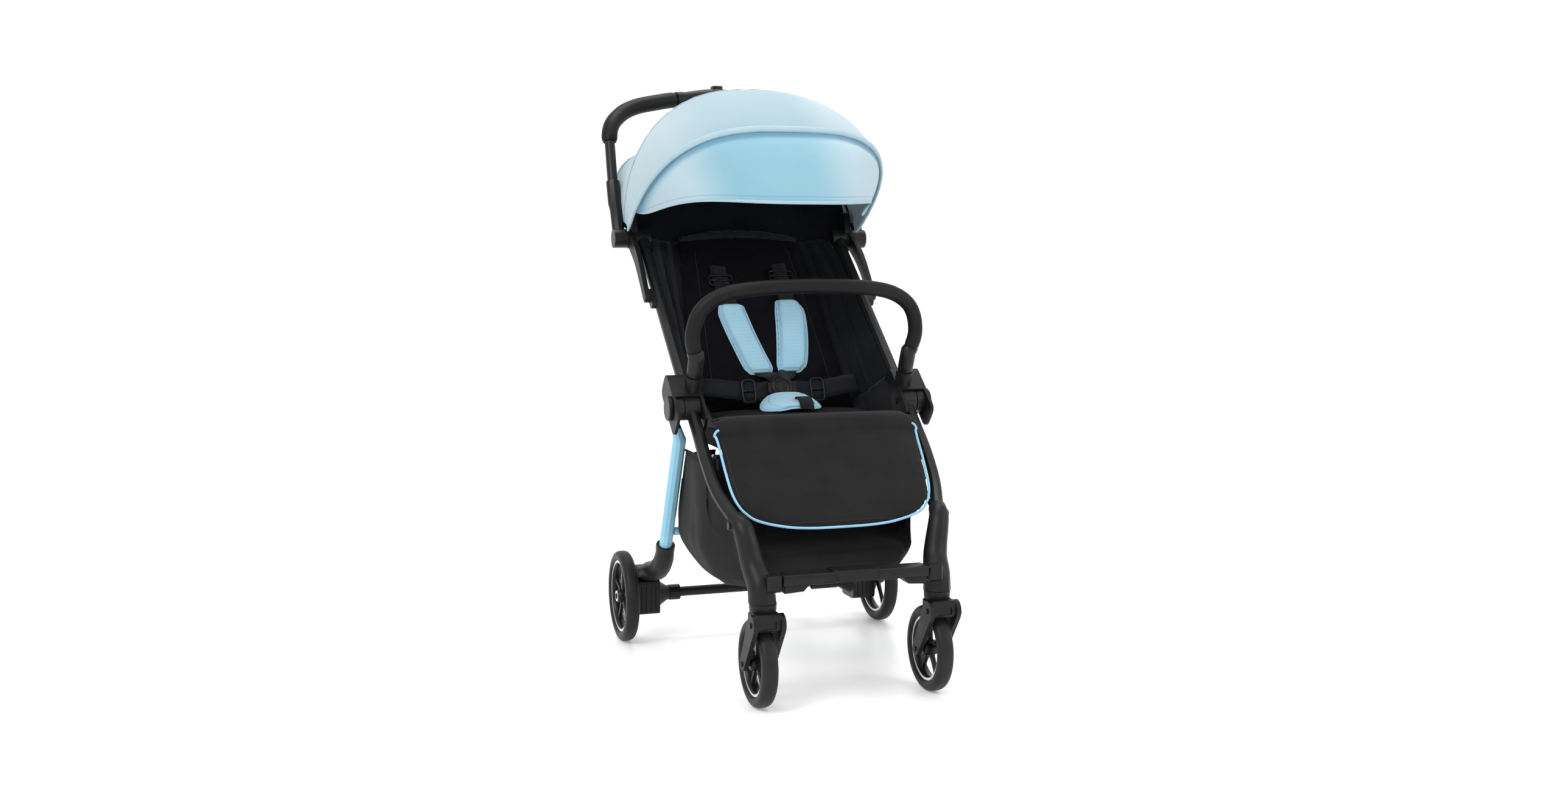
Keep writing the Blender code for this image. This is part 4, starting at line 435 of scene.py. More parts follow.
def moulded(name, colour, roughness, grain=1400.0, depth=0.00006, coat=0.0, metallic=0.0):
    """Plastic, paint or plain metal: a fine grain, and soft patches where it is rubbed smoother."""
    finish = Finish(name, colour, roughness, metallic, Specular_IOR_Level=0.24, Coat_Weight=coat,
                    Coat_Roughness=0.3)
    place = finish.here()
    cells = finish.speckle(place, grain, 2.0)
    rubbed = finish.ramp(finish.speckle(place, 16.0, 4.0, 0.6), 0.45, 0.75)
    lighter = tuple(min(1.0, c * 1.35 + 0.002) for c in colour)
    finish.vary("Base Color", finish.blend(rubbed * 0.6, colour, lighter))
    finish.vary("Roughness", rubbed * -0.08 + cells * 0.06 + roughness)
    return finish.relief(cells, depth)


def foam(name, colour, roughness, cell, depth):
    """The skin of a foam part: open cells of this size, lighter where it is worn."""
    finish = Finish(name, colour, roughness, Specular_IOR_Level=0.16)
    place = finish.here()
    pores = finish.node("ShaderNodeTexVoronoi", {"feature": "F1"}, {"Vector": place, "Scale": 1 / cell},
                        "Distance")
    worn = finish.ramp(finish.speckle(place, 30.0, 4.0), 0.4, 0.7)
    finish.vary("Base Color", finish.blend(worn * 0.5, colour, tuple(c * 1.6 for c in colour)))
    finish.vary("Roughness", pores * 0.15 + (roughness - 0.08))
    return finish.relief(pores, depth)


black_plastic = moulded("black moulding", (0.0045, 0.0045, 0.0047), 0.42)
gloss_plastic = moulded("smooth black moulding", (0.0050, 0.0050, 0.0052), 0.32, 600.0, 0.00002)
black_paint = moulded("black tube paint", (0.0055, 0.0055, 0.0060), 0.36, 260.0, 0.00003, 0.05)
blue_paint = moulded("light blue tube paint", (0.225, 0.455, 0.590), 0.33, 260.0, 0.00003, 0.1)
grip_foam = foam("grip foam", (0.0046, 0.0046, 0.0048), 0.50, 0.0007, 0.00005)
tyre_foam = foam("tyre foam", (0.0130, 0.0130, 0.0128), 0.44, 0.0009, 0.00006)
steel = moulded("zinc steel", (0.55, 0.55, 0.56), 0.32, 500.0, 0.00002, metallic=1.0)
trim_silver = moulded("silver trim", (0.66, 0.67, 0.68), 0.28, 700.0, 0.00002, metallic=0.55)
piping_blue = pad_cloth("piping cloth", (0.270, 0.520, 0.690), (0.240, 0.490, 0.660), 0.0009, 0.75)
thread_blue = moulded("blue thread", (0.10, 0.28, 0.44), 0.6, 900.0, 0.00004)
thread_black = moulded("black thread", (0.030, 0.030, 0.032), 0.6, 900.0, 0.00004)
# The rear legs are blue up to the hubs and black inside them.
BLUE_PAINT_ENDS = 0.4180
in_the_hub = blue_paint.parts(blue_paint.here())[2] > BLUE_PAINT_ENDS
leg_colour = Field(blue_paint, blue_paint.shader.inputs["Base Color"].links[0].from_socket)
blue_paint.vary("Base Color", blue_paint.blend(in_the_hub, leg_colour, (0.0055, 0.0055, 0.0060)))
print("hard finishes made")

# %% [markdown]
# New pieces are gathered as plain lists of points and faces, which keeps the shapes close to the formulas
# that describe them. A shell knows how to add a grid, a bar along a path, a turned profile and a rounded
# block; then it becomes one object, smooth where it bends gently and crisp where it turns.

# %% A kit for shells


def heading(path, i):
    """The direction in which a path runs at one of its points."""
    return (path[min(i + 1, len(path) - 1)] - path[max(i - 1, 0)]).normalized()


def path_frames(path, side=None):
    """A centre and two cross directions for each point, carried along without twist."""
    frames = []
    for i, point in enumerate(path):
        tangent = heading(path, i)
        side = side if side is not None else tangent.orthogonal()
        side = (side - tangent * side.dot(tangent)).normalized()
        frames.append((point, side, tangent.cross(side)))
    return frames


def ring(centre, side, up, half_side, half_up, count, power=2.0):
    """A closed loop of points: an ellipse at power 2, closer to a box at higher powers."""
    points = []
    for i in range(count):
        angle = math.tau * i / count
        c, s = math.cos(angle), math.sin(angle)
        points.append(centre + side * (math.copysign(abs(c) ** (2 / power), c) * half_side)
                      + up * (math.copysign(abs(s) ** (2 / power), s) * half_up))
    return points


class Shell:
    """Points and faces of one piece, and where each point lies on the flat cloth."""

    def __init__(self):
        self.points, self.faces, self.cloth, self.shades = [], [], [], []

    def grid(self, rows, cloth=None, round_rows=False, round_columns=False, ends=False, shade=0):
        """Faces between rows of points; round closes them into a loop, ends puts a lid on both."""
        start, height, width = len(self.points), len(rows), len(rows[0])
        self.points += [tuple(p) for row in rows for p in row]
        self.cloth += ([tuple(c) for row in cloth for c in row] if cloth
                       else [(0.0, 0.0, 0.0)] * (height * width))
        for i in range(height if round_columns else height - 1):
            for j in range(width if round_rows else width - 1):
                a, b = start + i * width, start + (i + 1) % height * width
                k = (j + 1) % width
                self.faces.append((a + j, a + k, b + k, b + j))
                self.shades.append(shade)
        if ends:
            last = start + (height - 1) * width
            self.faces += [tuple(range(start + width - 1, start - 1, -1)), tuple(range(last, last + width))]
            self.shades += [shade, shade]
        return self

    def bar(self, path, radius, sides=28, power=2.0, flat=1.0, side=None, shade=0, closed=False):
        """A bar along a path; radius is one value or one for each point."""
        radii = radius if isinstance(radius, (list, tuple)) else [radius] * len(path)
        rows = [ring(p, a, b, r, r * flat, sides, power)
                for (p, a, b), r in zip(path_frames(path, side), radii)]
        return self.grid(rows, round_rows=True, round_columns=closed, ends=not closed, shade=shade)

    def turned(self, profile, start, axis, steps=48, closed=False, shade=0):
        """A profile of (distance along the axis, radius) turned round the axis."""
        axis = Vector(axis).normalized()
        side = axis.orthogonal().normalized()
        rows = [ring(Vector(start) + axis * d, side, axis.cross(side), r, r, steps) for d, r in profile]
        return self.grid(rows, round_rows=True, round_columns=closed, ends=not closed, shade=shade)

    def block(self, low, high, bevel):
        """A box between two corners, with rounded edges."""
        mesh = bmesh.new()
        bmesh.ops.create_cube(mesh, size=1.0)
        for vert in mesh.verts:
            for k in range(3):
                vert.co[k] = low[k] + (vert.co[k] + 0.5) * (high[k] - low[k])
        bmesh.ops.bevel(mesh, geom=mesh.edges[:], offset=bevel, segments=3, profile=0.5, affect="EDGES")
        start = len(self.points)
        self.points += [tuple(v.co) for v in mesh.verts]
        self.cloth += [(0.0, 0.0, 0.0)] * len(mesh.verts)
        self.faces += [tuple(start + v.index for v in face.verts) for face in mesh.faces]
        self.shades += [0] * len(mesh.faces)
        mesh.free()
        return self

    def make(self, name, *finishes, crisp=40.0, outward=True):
        """Turn the shell into one object; edges that turn by more than crisp degrees stay sharp."""
        data = bpy.data.meshes.new(name)
        data.from_pydata(self.points, [], self.faces)
        data.attributes.new("cloth", "FLOAT_VECTOR", "POINT").data.foreach_set(
            "vector", np.array(self.cloth, np.float32).ravel())
        for finish in finishes:
            data.materials.append(finish.material)
        data.polygons.foreach_set("material_index", self.shades)
        if outward:
            mesh = bmesh.new()
            mesh.from_mesh(data)
            bmesh.ops.recalc_face_normals(mesh, faces=mesh.faces)
            mesh.to_mesh(data)
            mesh.free()
        data.shade_smooth()
        data.set_sharp_from_angle(angle=math.radians(crisp))
        piece = bpy.data.objects.new(name, data)
        scene.collection.objects.link(piece)
        return piece


print("a shell is built from grids, bars and turned profiles")

# %% [markdown]
# Castings, brackets and straight tubes come from the frame as they are. Their edges are too sharp for real
# mouldings, though, so each gets a weld and a small bevel whose shading is hardened: flat faces stay flat,
# round ones turn smooth, and every edge catches a thin line of light.

# %% Dress the frame's own parts
FINISH_OF_SLOT = {"black_plastic": black_plastic, "black_paint": black_paint, "blue_paint": blue_paint,
                  "tyre_foam": tyre_foam, "grip_foam": grip_foam, "blue_fabric": canopy_cloth,
                  "black_fabric": wing_cloth, "charcoal_fabric": charcoal_pad}
SLOT_OF_NODE = {part["node"]: part["material_slot"] for part in frame["record"]["subparts"]}
GLOSSY = ("hub_cap", "handle_sleeve", "fold_lock", "fold_button", "axle_housing")


def soft_edge(piece, width, angle):
    bevel = piece.modifiers.new("worn edge", "BEVEL")
    bevel.width, bevel.segments, bevel.limit_method = width, 2, "ANGLE"
    bevel.angle_limit, bevel.harden_normals = math.radians(angle), True


def dress(node, finish):
    """Give a CAD node its finish and a fine bevel; its own mesh stays as it is."""
    for extra in ("custom_normal", "sharp_edge"):
        if extra in node.data.attributes:
            node.data.attributes.remove(node.data.attributes[extra])
    node.data.materials.clear()
    node.data.materials.append(finish.material)
    node.data.shade_smooth()
    node.modifiers.new("weld", "WELD").merge_threshold = 0.00002
    soft_edge(node, 0.0007, 32)


for name in nodes:
    glossy = name.startswith(GLOSSY)
    dress(nodes[name], gloss_plastic if glossy else FINISH_OF_SLOT[SLOT_OF_NODE[name]])
print("dressed", len(nodes), "nodes")

# %% [markdown]
# A wheel is turned, like a pot. The tyre's section is a round shoulder that bulges past a rim groove; inside it
# sits a bright trim ring, and five spokes flare where they meet the rim and the hub, because a moulder needs
# those fillets for the plastic to flow. A metal ring marks the hub of each rear wheel.

# %% Wheels
SIDE_NAMES = {-1: "left", 1: "right"}
WHEEL_AXIS = (1, 0, 0)


def on_body(piece, body, stands_for=None):
    """Say which body carries a piece, and hide the node it stands for."""
    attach(piece, body)
    if stands_for:
        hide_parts(stands_for)
    return piece


TYRE_DEPTH, RIM_WALL, HUB_R, BORE, SPOKES = 0.017, 0.006, 0.0125, 0.0046, 5


def tyre_profile(radius, half):
    """The tyre's section: a full round tread over two shoulders, and a lip that grips the rim."""
    seat = radius - TYRE_DEPTH
    profile = [(-half * 0.62, seat), (-half * 0.80, seat + 0.0004), (-half * 0.93, seat + 0.0022)]
    for i in range(15):
        angle = math.pi * i / 14
        along = -math.cos(angle)
        profile.append((half * math.copysign(abs(along) ** 0.72, along),
                        seat + 0.0046 + (TYRE_DEPTH - 0.0046) * math.sin(angle) ** 0.66))
    return profile + [(half * 0.93, seat + 0.0022), (half * 0.80, seat + 0.0004), (half * 0.62, seat)]


def trim_rings(shell, centre, inner, outer, radii, steps):
    """A bright ring on each side of a wheel, between two distances from its middle plane."""
    for end in (-1, 1):
        low, high = sorted((end * inner, end * outer))
        shell.turned(list(zip((low, high, high, low), radii)), centre, WHEEL_AXIS, steps, closed=True, shade=1)


def add_spoke(shell, centre, turn, seat, half):
    """A spoke that flares into fillets at the hub and at the rim."""
    out = Vector((0, math.cos(turn), math.sin(turn)))
    cross = Vector((0, -math.sin(turn), math.cos(turn)))
    rows = []
    for k in range(13):
        t = k / 12
        reach = HUB_R - 0.003 + (seat - RIM_WALL * 0.5 - HUB_R + 0.003) * t
        flare = 0.0030 * math.exp(-(t / 0.10) ** 2) + 0.0042 * math.exp(-((1 - t) / 0.14) ** 2)
        rows.append(ring(centre + out * reach, cross, Vector(WHEEL_AXIS), 0.0037 + flare,
                         half * (0.34 - 0.06 * math.sin(math.pi * t)), 20, 4.0))
    shell.grid(rows, round_rows=True, ends=True)


def make_wheel(kind, name, x, y, radius, width):
    centre, half, body = at(x, y, radius), width / 2, f"{kind}_wheel_{name}"
    tyre = Shell().turned(tyre_profile(radius, half), centre, WHEEL_AXIS, 72, closed=True)
    tyre = tyre.make(f"{kind}_tyre_{name}_foam", tyre_foam)
    on_body(tyre, body, f"{kind}_tyre_{name}")
    seat, lip = radius - TYRE_DEPTH - 0.0003, half * 0.60
    shell = Shell()
    shell.turned([(-lip * 0.86, seat - RIM_WALL), (-lip, seat - RIM_WALL + 0.0008), (-lip, seat), (lip, seat),
                  (lip, seat - RIM_WALL + 0.0008), (lip * 0.86, seat - RIM_WALL),
                  (lip * 0.3, seat - RIM_WALL - 0.0013), (-lip * 0.3, seat - RIM_WALL - 0.0013)],
                 centre, WHEEL_AXIS, 72, closed=True)
    trim_rings(shell, centre, lip, lip + 0.0012, [seat - d for d in (0.0042, 0.0036, 0.0008, 0.0003)], 72)
    shell.turned([(-half, BORE), (-half, HUB_R - 0.0024), (-half + 0.0008, HUB_R - 0.0016),
                  (-half * 0.5, HUB_R), (half * 0.5, HUB_R), (half - 0.0008, HUB_R - 0.0016),
                  (half, HUB_R - 0.0024), (half, BORE)], centre, WHEEL_AXIS, 40, closed=True)
    for i in range(SPOKES):
        add_spoke(shell, centre, math.tau * (i + 0.25) / SPOKES, seat, half)
    if kind == "rear":
        hub_radii = [HUB_R - d for d in (0.0062, 0.0058, 0.0030, 0.0026)]
        trim_rings(shell, centre, half - 0.0002, half + 0.0012, hub_radii, 40)
    rim = shell.make(f"{kind}_rim_{name}_spoked", gloss_plastic, trim_silver, crisp=50)
    on_body(rim, body, f"{kind}_rim_{name}")


# How far out each wheel sits, how far behind the front axle, its radius and its width
WHEELS = {"front": (0.1475, 0.0, 0.070, 0.027), "rear": (0.2510, 0.482, 0.0825, 0.025)}
for side, name in SIDE_NAMES.items():
    for kind, (out, back, radius, width) in WHEELS.items():
        make_wheel(kind, name, side * out, back, radius, width)
print("four wheels made")

# %% [markdown]
# The push handle is one bent tube. Its bends were read off the photograph one by one, and a smooth curve runs
# through them. Foam sleeves cover the parts that hands hold; in the middle a moulded housing swells round the
# tube, with a collar where each foam sleeve ends and an opening for the slide lock and the fold button.

# %% Push handle


def smooth_path(points, steps=10):
    """A smooth curve through a few points."""
    ends = [points[0] * 2 - points[1], *points, points[-1] * 2 - points[-2]]
    path = []
    for i in range(1, len(ends) - 2):
        p0, p1, p2, p3 = ends[i - 1:i + 3]
        for k in range(steps):
            t = k / steps
            path.append(0.5 * (2 * p1 + (p2 - p0) * t + (2 * p0 - 5 * p1 + 4 * p2 - p3) * t ** 2
                               + (3 * p1 - p0 - 3 * p2 + p3) * t ** 3))
    path.append(points[-1].copy())
    return path


def mirrored(points, side=-1):
    """Points of the right half, taken to the side given."""
    return [Vector((side * p.x, p.y, p.z)) for p in points]


def lengths_along(points):
    """How far each point of a row is from the row's start."""
    total, found = 0.0, [0.0]
    for a, b in zip(points, points[1:]):
        total += (b - a).length
        found.append(total)
    return found


KNUCKLE_Y, KNUCKLE_Z, HANDLE_X = 0.5545680, 0.7364171, 0.2363
HANDLE_R, GRIP_R, UNIT_R = 0.0095, 0.0150, 0.0190
# Each bend of the left half: how far in from the tube's foot, how far back and how far up
HANDLE_BENDS = ((0, 0.0200, 0.0450), (0, 0.0342, 0.0646), (0.0006, 0.0664, 0.1512),
                (0.0050, 0.0894, 0.2046), (0.0297, 0.1144, 0.2346), (0.0643, 0.1324, 0.2526),
                (0.1103, 0.1454, 0.2636), (0.1513, 0.1554, 0.2706), (0.2363, 0.1640, 0.2770))
GRIP_FROM, GRIP_TO, MIDDLE = 2.5, 7.0, 8.0
STEPS = 12
left_bends = [at(inset - HANDLE_X, KNUCKLE_Y + back, KNUCKLE_Z + up) for inset, back, up in HANDLE_BENDS]
left_half = smooth_path(left_bends, STEPS)
handle_path = left_half + mirrored(left_half[-2::-1])


def on_handle(first, last, side=-1):
    """The handle's path between two bends, given as bend numbers with fractions."""
    span = handle_path[round(first * STEPS):round(last * STEPS) + 1]
    return span if side < 0 else mirrored(span)


def rounded_ends(count, radius, *drops):
    """One radius for each point of a bar, smaller by these drops towards its two ends."""
    radii = [radius] * count
    for i, drop in enumerate(drops):
        radii[i] = radii[-1 - i] = radius - drop
    return radii


tube = Shell().bar(handle_path, HANDLE_R, 28).make("handle_tube_bent", black_paint)
on_body(tube, "handle", "handle_tube")
for side, name in SIDE_NAMES.items():
    span = on_handle(GRIP_FROM, GRIP_TO, side)
    radii = rounded_ends(len(span), GRIP_R, 0.0026, 0.0006)
    grip = Shell().bar(span, radii, 32).make(f"handle_grip_{name}_foam", grip_foam)
    on_body(grip, "handle", f"handle_grip_{name}")
print("handle tube", round(lengths_along(handle_path)[-1], 3), "m long")

# %% [markdown]
# The housing in the middle of the handle is hollowed out from above for the slide lock and from the front for
# the fold button. Cutting with a solid and then bevelling the rims gives the same soft edge a mould would.

# %% Handle housing


def settle(piece):
    """Apply the modifiers, so that what is seen is what the mesh holds."""
    bpy.context.view_layer.update()
    seen = piece.evaluated_get(bpy.context.evaluated_depsgraph_get())
    data = bpy.data.meshes.new_from_object(seen)
    piece.modifiers.clear()
    old, piece.data = piece.data, data
    data.name = piece.name
    bpy.data.meshes.remove(old)
    return piece


COLLAR_AT, GROOVE_AT = 0.86, 0.83


def cut_away(piece, cutters):
    """Cut solids out of a piece and soften the rims."""
    for cutter in cutters:
        cut = piece.modifiers.new("cut", "BOOLEAN")
        cut.operation, cut.object = "DIFFERENCE", cutter
    settle(piece)
    for cutter in cutters:
        bpy.data.objects.remove(cutter, do_unlink=True)
    soft_edge(piece, 0.0006, 35)
    piece.data.shade_smooth()
    return settle(piece)


unit_path = on_handle(GRIP_TO, MIDDLE)
unit_path += mirrored(unit_path[-2::-1])
rows = []
for point, side_way, up_way in path_frames(unit_path, Vector((0, 1, 0))):
    t = abs(point.x) / abs(unit_path[0].x)
    swell = UNIT_R - 0.0050 * min(1.0, t * 1.25) ** 1.4 + (0.0010 if t > COLLAR_AT else 0.0)
    if GROOVE_AT < t <= COLLAR_AT:
        swell -= 0.0012
    rows.append(ring(point, side_way, up_way, swell, swell, 40, 2.6))
unit = Shell().grid(rows, round_rows=True, ends=True).make("handle_centre_housing", black_plastic)
# The room for the lock, cut from above, and for the button, cut from the front
top = at(0, KNUCKLE_Y + 0.164, KNUCKLE_Z + 0.277)
pockets = [((-0.0193, -0.0103, 0.0115), (0.0193, 0.0103, 0.05)),
           ((-0.0138, -0.05, -0.0068), (0.0138, -0.0115, 0.0068))]
cutters = [Shell().block([top[k] + low[k] for k in range(3)], [top[k] + high[k] for k in range(3)],
                         0.0012).make("pocket", black_plastic) for low, high in pockets]
on_body(cut_away(unit, cutters), "handle", "handle_unit")
print("housing cut out for", len(pockets), "controls")

# %% [markdown]
# The bumper bar slides into sockets on the hubs. Its lower ends are smooth plastic sleeves, and the arch
# between them is covered in foam, which is why the bar looks duller above the joint.

# %% Bumper bar
BUMPER_R, SPIGOT_R, FOAM_FROM = 0.0125, 0.0072, 0.058
BUMPER_FOOT = Vector((0.190, *along_main(0, 0.024, 0.030).yz))
BUMPER_HEADING = Vector((0.0, -0.388, 0.922)).normalized()
BUMPER_BENDS = ((0.009, -0.029, 0.084), (-0.004, -0.038, 0.126), (-0.040, -0.046, 0.151))


def up_bumper(*distances):
    """Points on the straight foot of the bar."""
    return [BUMPER_FOOT + BUMPER_HEADING * d for d in distances]


bar_points = [BUMPER_FOOT, *up_bumper(0.042), *(BUMPER_FOOT + Vector(bend) for bend in BUMPER_BENDS),
              at(0.090, 0.156, 0.653), at(0, 0.155, 0.656)]
left_bar = smooth_path(mirrored(bar_points), 12)
foam_from = next(i for i, p in enumerate(left_bar) if (p - left_bar[0]).dot(BUMPER_HEADING) > FOAM_FROM)
arch = left_bar[foam_from:] + mirrored(left_bar[-2:foam_from - 1:-1])
bar = Shell().bar(arch, rounded_ends(len(arch), BUMPER_R, 0.0012), 32).make("bumper_arch_foam", grip_foam)
on_body(bar, "bumper", "bumper_bar")
for side, name in SIDE_NAMES.items():
    sleeve = mirrored(up_bumper(*(0.0165 + 0.0055 * k for k in range(8))), side)
    sleeve += mirrored(left_bar[foam_from - 1:foam_from + 1], -side)
    thick = [BUMPER_R - 0.0004, BUMPER_R + 0.0006, *[BUMPER_R + 0.0008] * (len(sleeve) - 3), BUMPER_R + 0.0003]
    shell = Shell().bar(sleeve, thick, 32)
    shell.bar(mirrored(up_bumper(0.001, 0.022), side), SPIGOT_R, 20)
    on_body(shell.make(f"bumper_sleeve_{name}", gloss_plastic), "bumper")
print("bumper arch", round(lengths_along(arch)[-1], 3), "m of foam")

# %% [markdown]
# Cloth is cut flat before it is stretched or hung, so each sheet is measured on its own grid: the longest row,
# the longest column and the area between them. The flat place of every point goes with the mesh, because the
# weave and the stitches of its finish follow the cut, not the space around it.

# %% Sheets of cloth


def thicken(piece, thickness):
    """Give a sheet its thickness, on the side away from its face."""
    wall = piece.modifiers.new("thickness", "SOLIDIFY")
    wall.thickness, wall.offset = thickness, -1.0
    return settle(piece)


def flat_size(rows):
    """The cut size of a sheet: its longest row, its longest column, and its area."""
    width = max(lengths_along(row)[-1] for row in rows)
    length = max(lengths_along(column)[-1] for column in zip(*rows))
    area = 0.0
    for a, b in zip(rows, rows[1:]):
        for j in range(len(a) - 1):
            area += ((a[j + 1] - a[j]).cross(b[j] - a[j]).length
                     + (b[j] - b[j + 1]).cross(a[j + 1] - b[j + 1]).length) / 2
    return (width, length), min(area, width * length)


def cloth_rows(rows):
    """Flat coordinates for a grid: along its rows, and in from its first and last rows."""
    columns = [lengths_along(column) for column in zip(*rows)]
    result = []
    for i, row in enumerate(rows):
        along = lengths_along(row)
        middle = along[-1] / 2
        result.append([(along[j] - middle, columns[j][i], columns[j][-1] - columns[j][i])
                       for j in range(len(row))])
    return result


def cloth_piece(name, rows, finish, thickness, flip=False):
    """A sheet from a grid, with its flat size printed."""
    piece = Shell().grid(rows, cloth_rows(rows)).make(name, finish, outward=False)
    if flip:
        piece.data.flip_normals()
    thicken(piece, thickness)
    flat, area = flat_size(rows)
    print(name, "is cut from", round(flat[0], 3), "x", round(flat[1], 3), "m")
    return piece


print("sheets are measured in metres")

# %% [markdown]
# The canopy is three panels of stretched cloth sewn over wire bows that all turn about one line through the
# two tips. Each panel is a grid: across it run the arches, and between two arches the cloth draws in a little,
# because tension pulls it towards a straight line. Near the seams it puckers, so a fine ripple dies away from
# them.

# %% Canopy panels
CANOPY_Y, CANOPY_Z, CANOPY_HALF, REACH = 0.5635, 0.7330, 0.2198, 0.034
KNUCKLES, CANOPY_THICK = ["knuckle_left", "knuckle_right"], 0.0010
# Each arch: its turn about the tip line, its radius, how square it is, and how far it bulges past the tips
BOW = np.array([math.radians(148.35), 0.3538, 3.09, 0.0056])
CREST = np.array([math.radians(106.9), 0.2851, 2.50, 0.0160])
REAR = np.array([math.radians(54.0), 0.2200, 3.80, 0.0130])
ARCH = 120


def on_arch(arch, t, lift=0.0):
    """A point on an arch, from the left tip to the right one."""
    angle, radius, square, bulge = arch
    c, s = math.cos(t), math.sin(t)
    rise = abs(s) ** (2 / square) * (radius + lift)
    half = CANOPY_HALF + lift + bulge * (1 - math.exp(-rise / 0.08))
    across = -math.copysign(abs(c) ** (2 / square), c) * half
    return at(across, CANOPY_Y + rise * math.cos(angle), CANOPY_Z + rise * math.sin(angle))


def arch_steps(arch, count=ARCH):
    """Where the points of an arch lie, closer together towards its tips."""
    end = math.asin((REACH / arch[1]) ** (arch[2] / 2))
    return [end + (math.pi - 2 * end) * (1 - math.cos(math.pi * i / count)) / 2 for i in range(count + 1)]


def pucker(t, f, radius, seed, strength=0.0012):
    """Small gathers beside the two seams, and wide soft waves between them."""
    near_seam = math.exp(-f / 0.08) + math.exp(-(1 - f) / 0.08)
    fine = noise.noise(Vector((t * radius * 90, seed, 0))) * near_seam
    wide = noise.noise(Vector((t * 3.1, f * 2.2, seed + 7))) * math.sin(math.pi * f)
    return strength * fine + 0.0026 * wide


def canopy_rows(low, high, count, sag, seed, lift=0.0014, ease=(1, 1, 1, 1)):
    """From the high arch to the low one; ease says how early each of the arch's numbers changes."""
    rows = []
    for i in range(count + 1):
        f = i / count
        arch = high + (low - high) * np.array([f ** power for power in ease])
        arch[1] -= sag * math.sin(math.pi * f)
        rows.append([on_arch(arch, t, lift + pucker(t, f, arch[1], seed) * math.sin(t) ** 0.5)
                     for t in arch_steps(arch)])
    return rows


crest_rows = canopy_rows(CREST, BOW, 26, 0.006, 3.0)
crest = cloth_piece("canopy_top_cloth", crest_rows, canopy_cloth, CANOPY_THICK)
tip = at(0, CANOPY_Y, CANOPY_Z)
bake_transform(crest)
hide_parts("canopy_panel")

rear_rows = canopy_rows(REAR, CREST, 24, 0.020, 11.0, ease=(1, 0.6, 3.0, 1.5))
rear_cloth = cloth_piece("canopy_rear_cloth", rear_rows, canopy_cloth, CANOPY_THICK)
on_body(rear_cloth, "upper_frame", "canopy_rear")

# %% [markdown]
# The visor grows out of the front bow. Its hem is an arch of its own, larger and squarer, and turned further
# forward; every row between is a blend of the two. Towards the tips the blend closes to nothing, because there
# the visor is sewn to the bow.

# %% Canopy visor
HEM_TURN, HEM_R, HEM_SQUARE, HEM_NARROWS = math.radians(22.6), 0.3900, 3.40, 0.27
VISOR_END = 0.135
VISOR_SPAN = math.pi - 2 * VISOR_END


def on_visor(f, t):
    """A point of the visor: f runs from the bow to the hem, t from tip to tip; it opens up between the tips."""
    open_up = max(0.0, math.sin(math.pi * (t - VISOR_END) / VISOR_SPAN)) ** 0.36
    arch = BOW.copy()
    arch[0] += 0.002 + HEM_TURN * f * open_up
    arch[1] += (HEM_R - BOW[1]) * f * open_up
    arch[2] += (HEM_SQUARE - BOW[2]) * f * open_up
    sink = 0.0036 * math.exp(-((f - 0.10) / 0.06) ** 2) * open_up
    point = on_arch(arch, t, 0.0014 - sink + pucker(t, f, arch[1], 21.0, 0.0009) * open_up)
    point.x *= 1 - HEM_NARROWS * f * open_up
    return point


visor_steps = [VISOR_END + VISOR_SPAN * (1 - math.cos(math.pi * k / ARCH)) / 2 for k in range(ARCH + 1)]
visor_rows = [[on_visor(i / 24, t) for t in visor_steps] for i in range(25)]
visor = cloth_piece("canopy_visor_cloth", visor_rows, visor_cloth, CANOPY_THICK)
on_body(visor, "canopy_front", "canopy_visor")

# %% [markdown]
# Four things finish the canopy's edges: a covered band over the front bow, a rolled hem along the visor, a
# binding round the rear arch and a flat seam over the crest between them. Each is a flattened bar that follows
# its row of the cloth and thins out towards the tips.

# %% Canopy edges


def edge_bar(name, row, wide, high, finish, body, lift=0.0, sides=14):
    """A flattened bar along a row of cloth, its broad side on the cloth."""
    rows = []
    for i, point in enumerate(row):
        tangent, out = heading(row, i), point - tip
        if abs(point.x) >= 0.2:
            out = Vector((point.x, 0, 0)).lerp(out, 0.5)
        out = (out - tangent * out.dot(tangent)).normalized()
        taper = min(1.0, 0.35 + 9 * min(i, len(row) - 1 - i) / len(row))
        rows.append(ring(point + out * lift, tangent.cross(out), out, wide / 2 * taper, high / 2 * taper,
                         sides, 2.4))
    along = lengths_along(row)
    cloth = [[(along[i], wide / 2, wide / 2)] * sides for i in range(len(rows))]
    piece = Shell().grid(rows, cloth, round_rows=True, ends=True).make(name, finish)
    return on_body(piece, body)


edge_bar("canopy_bow_band", crest_rows[0], 0.0120, 0.0066, band_cloth, "canopy_front", 0.0020)
edge_bar("canopy_visor_hem", visor_rows[-1], 0.0060, 0.0028, band_cloth, "canopy_front")
rear_edges = [edge_bar("canopy_rear_binding", rear_rows[-1], 0.0065, 0.0045, band_cloth, "upper_frame"),
              edge_bar("canopy_crest_seam", rear_rows[0], 0.0040, 0.0014, canopy_seam, "upper_frame", 0.0004)]
# The rear cloth and its edges each get a mesh of their own.
for part in [rear_cloth] + rear_edges:
    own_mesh(part)
print("canopy edges done")

# %% [markdown]
# Stuffed cloth. A pad starts as a closed form a little smaller than the real one. It is remeshed into even
# squares, then inflated for twenty frames by a cloth simulation without gravity, which pulls the sides in and
# raises the crinkles that no formula gives. How far any point may travel is capped, so that a pad never leaves
# the room that the frame keeps for it. Seams, piping and stitches come after, on the finished surface.

# %% Tools for stuffed cloth


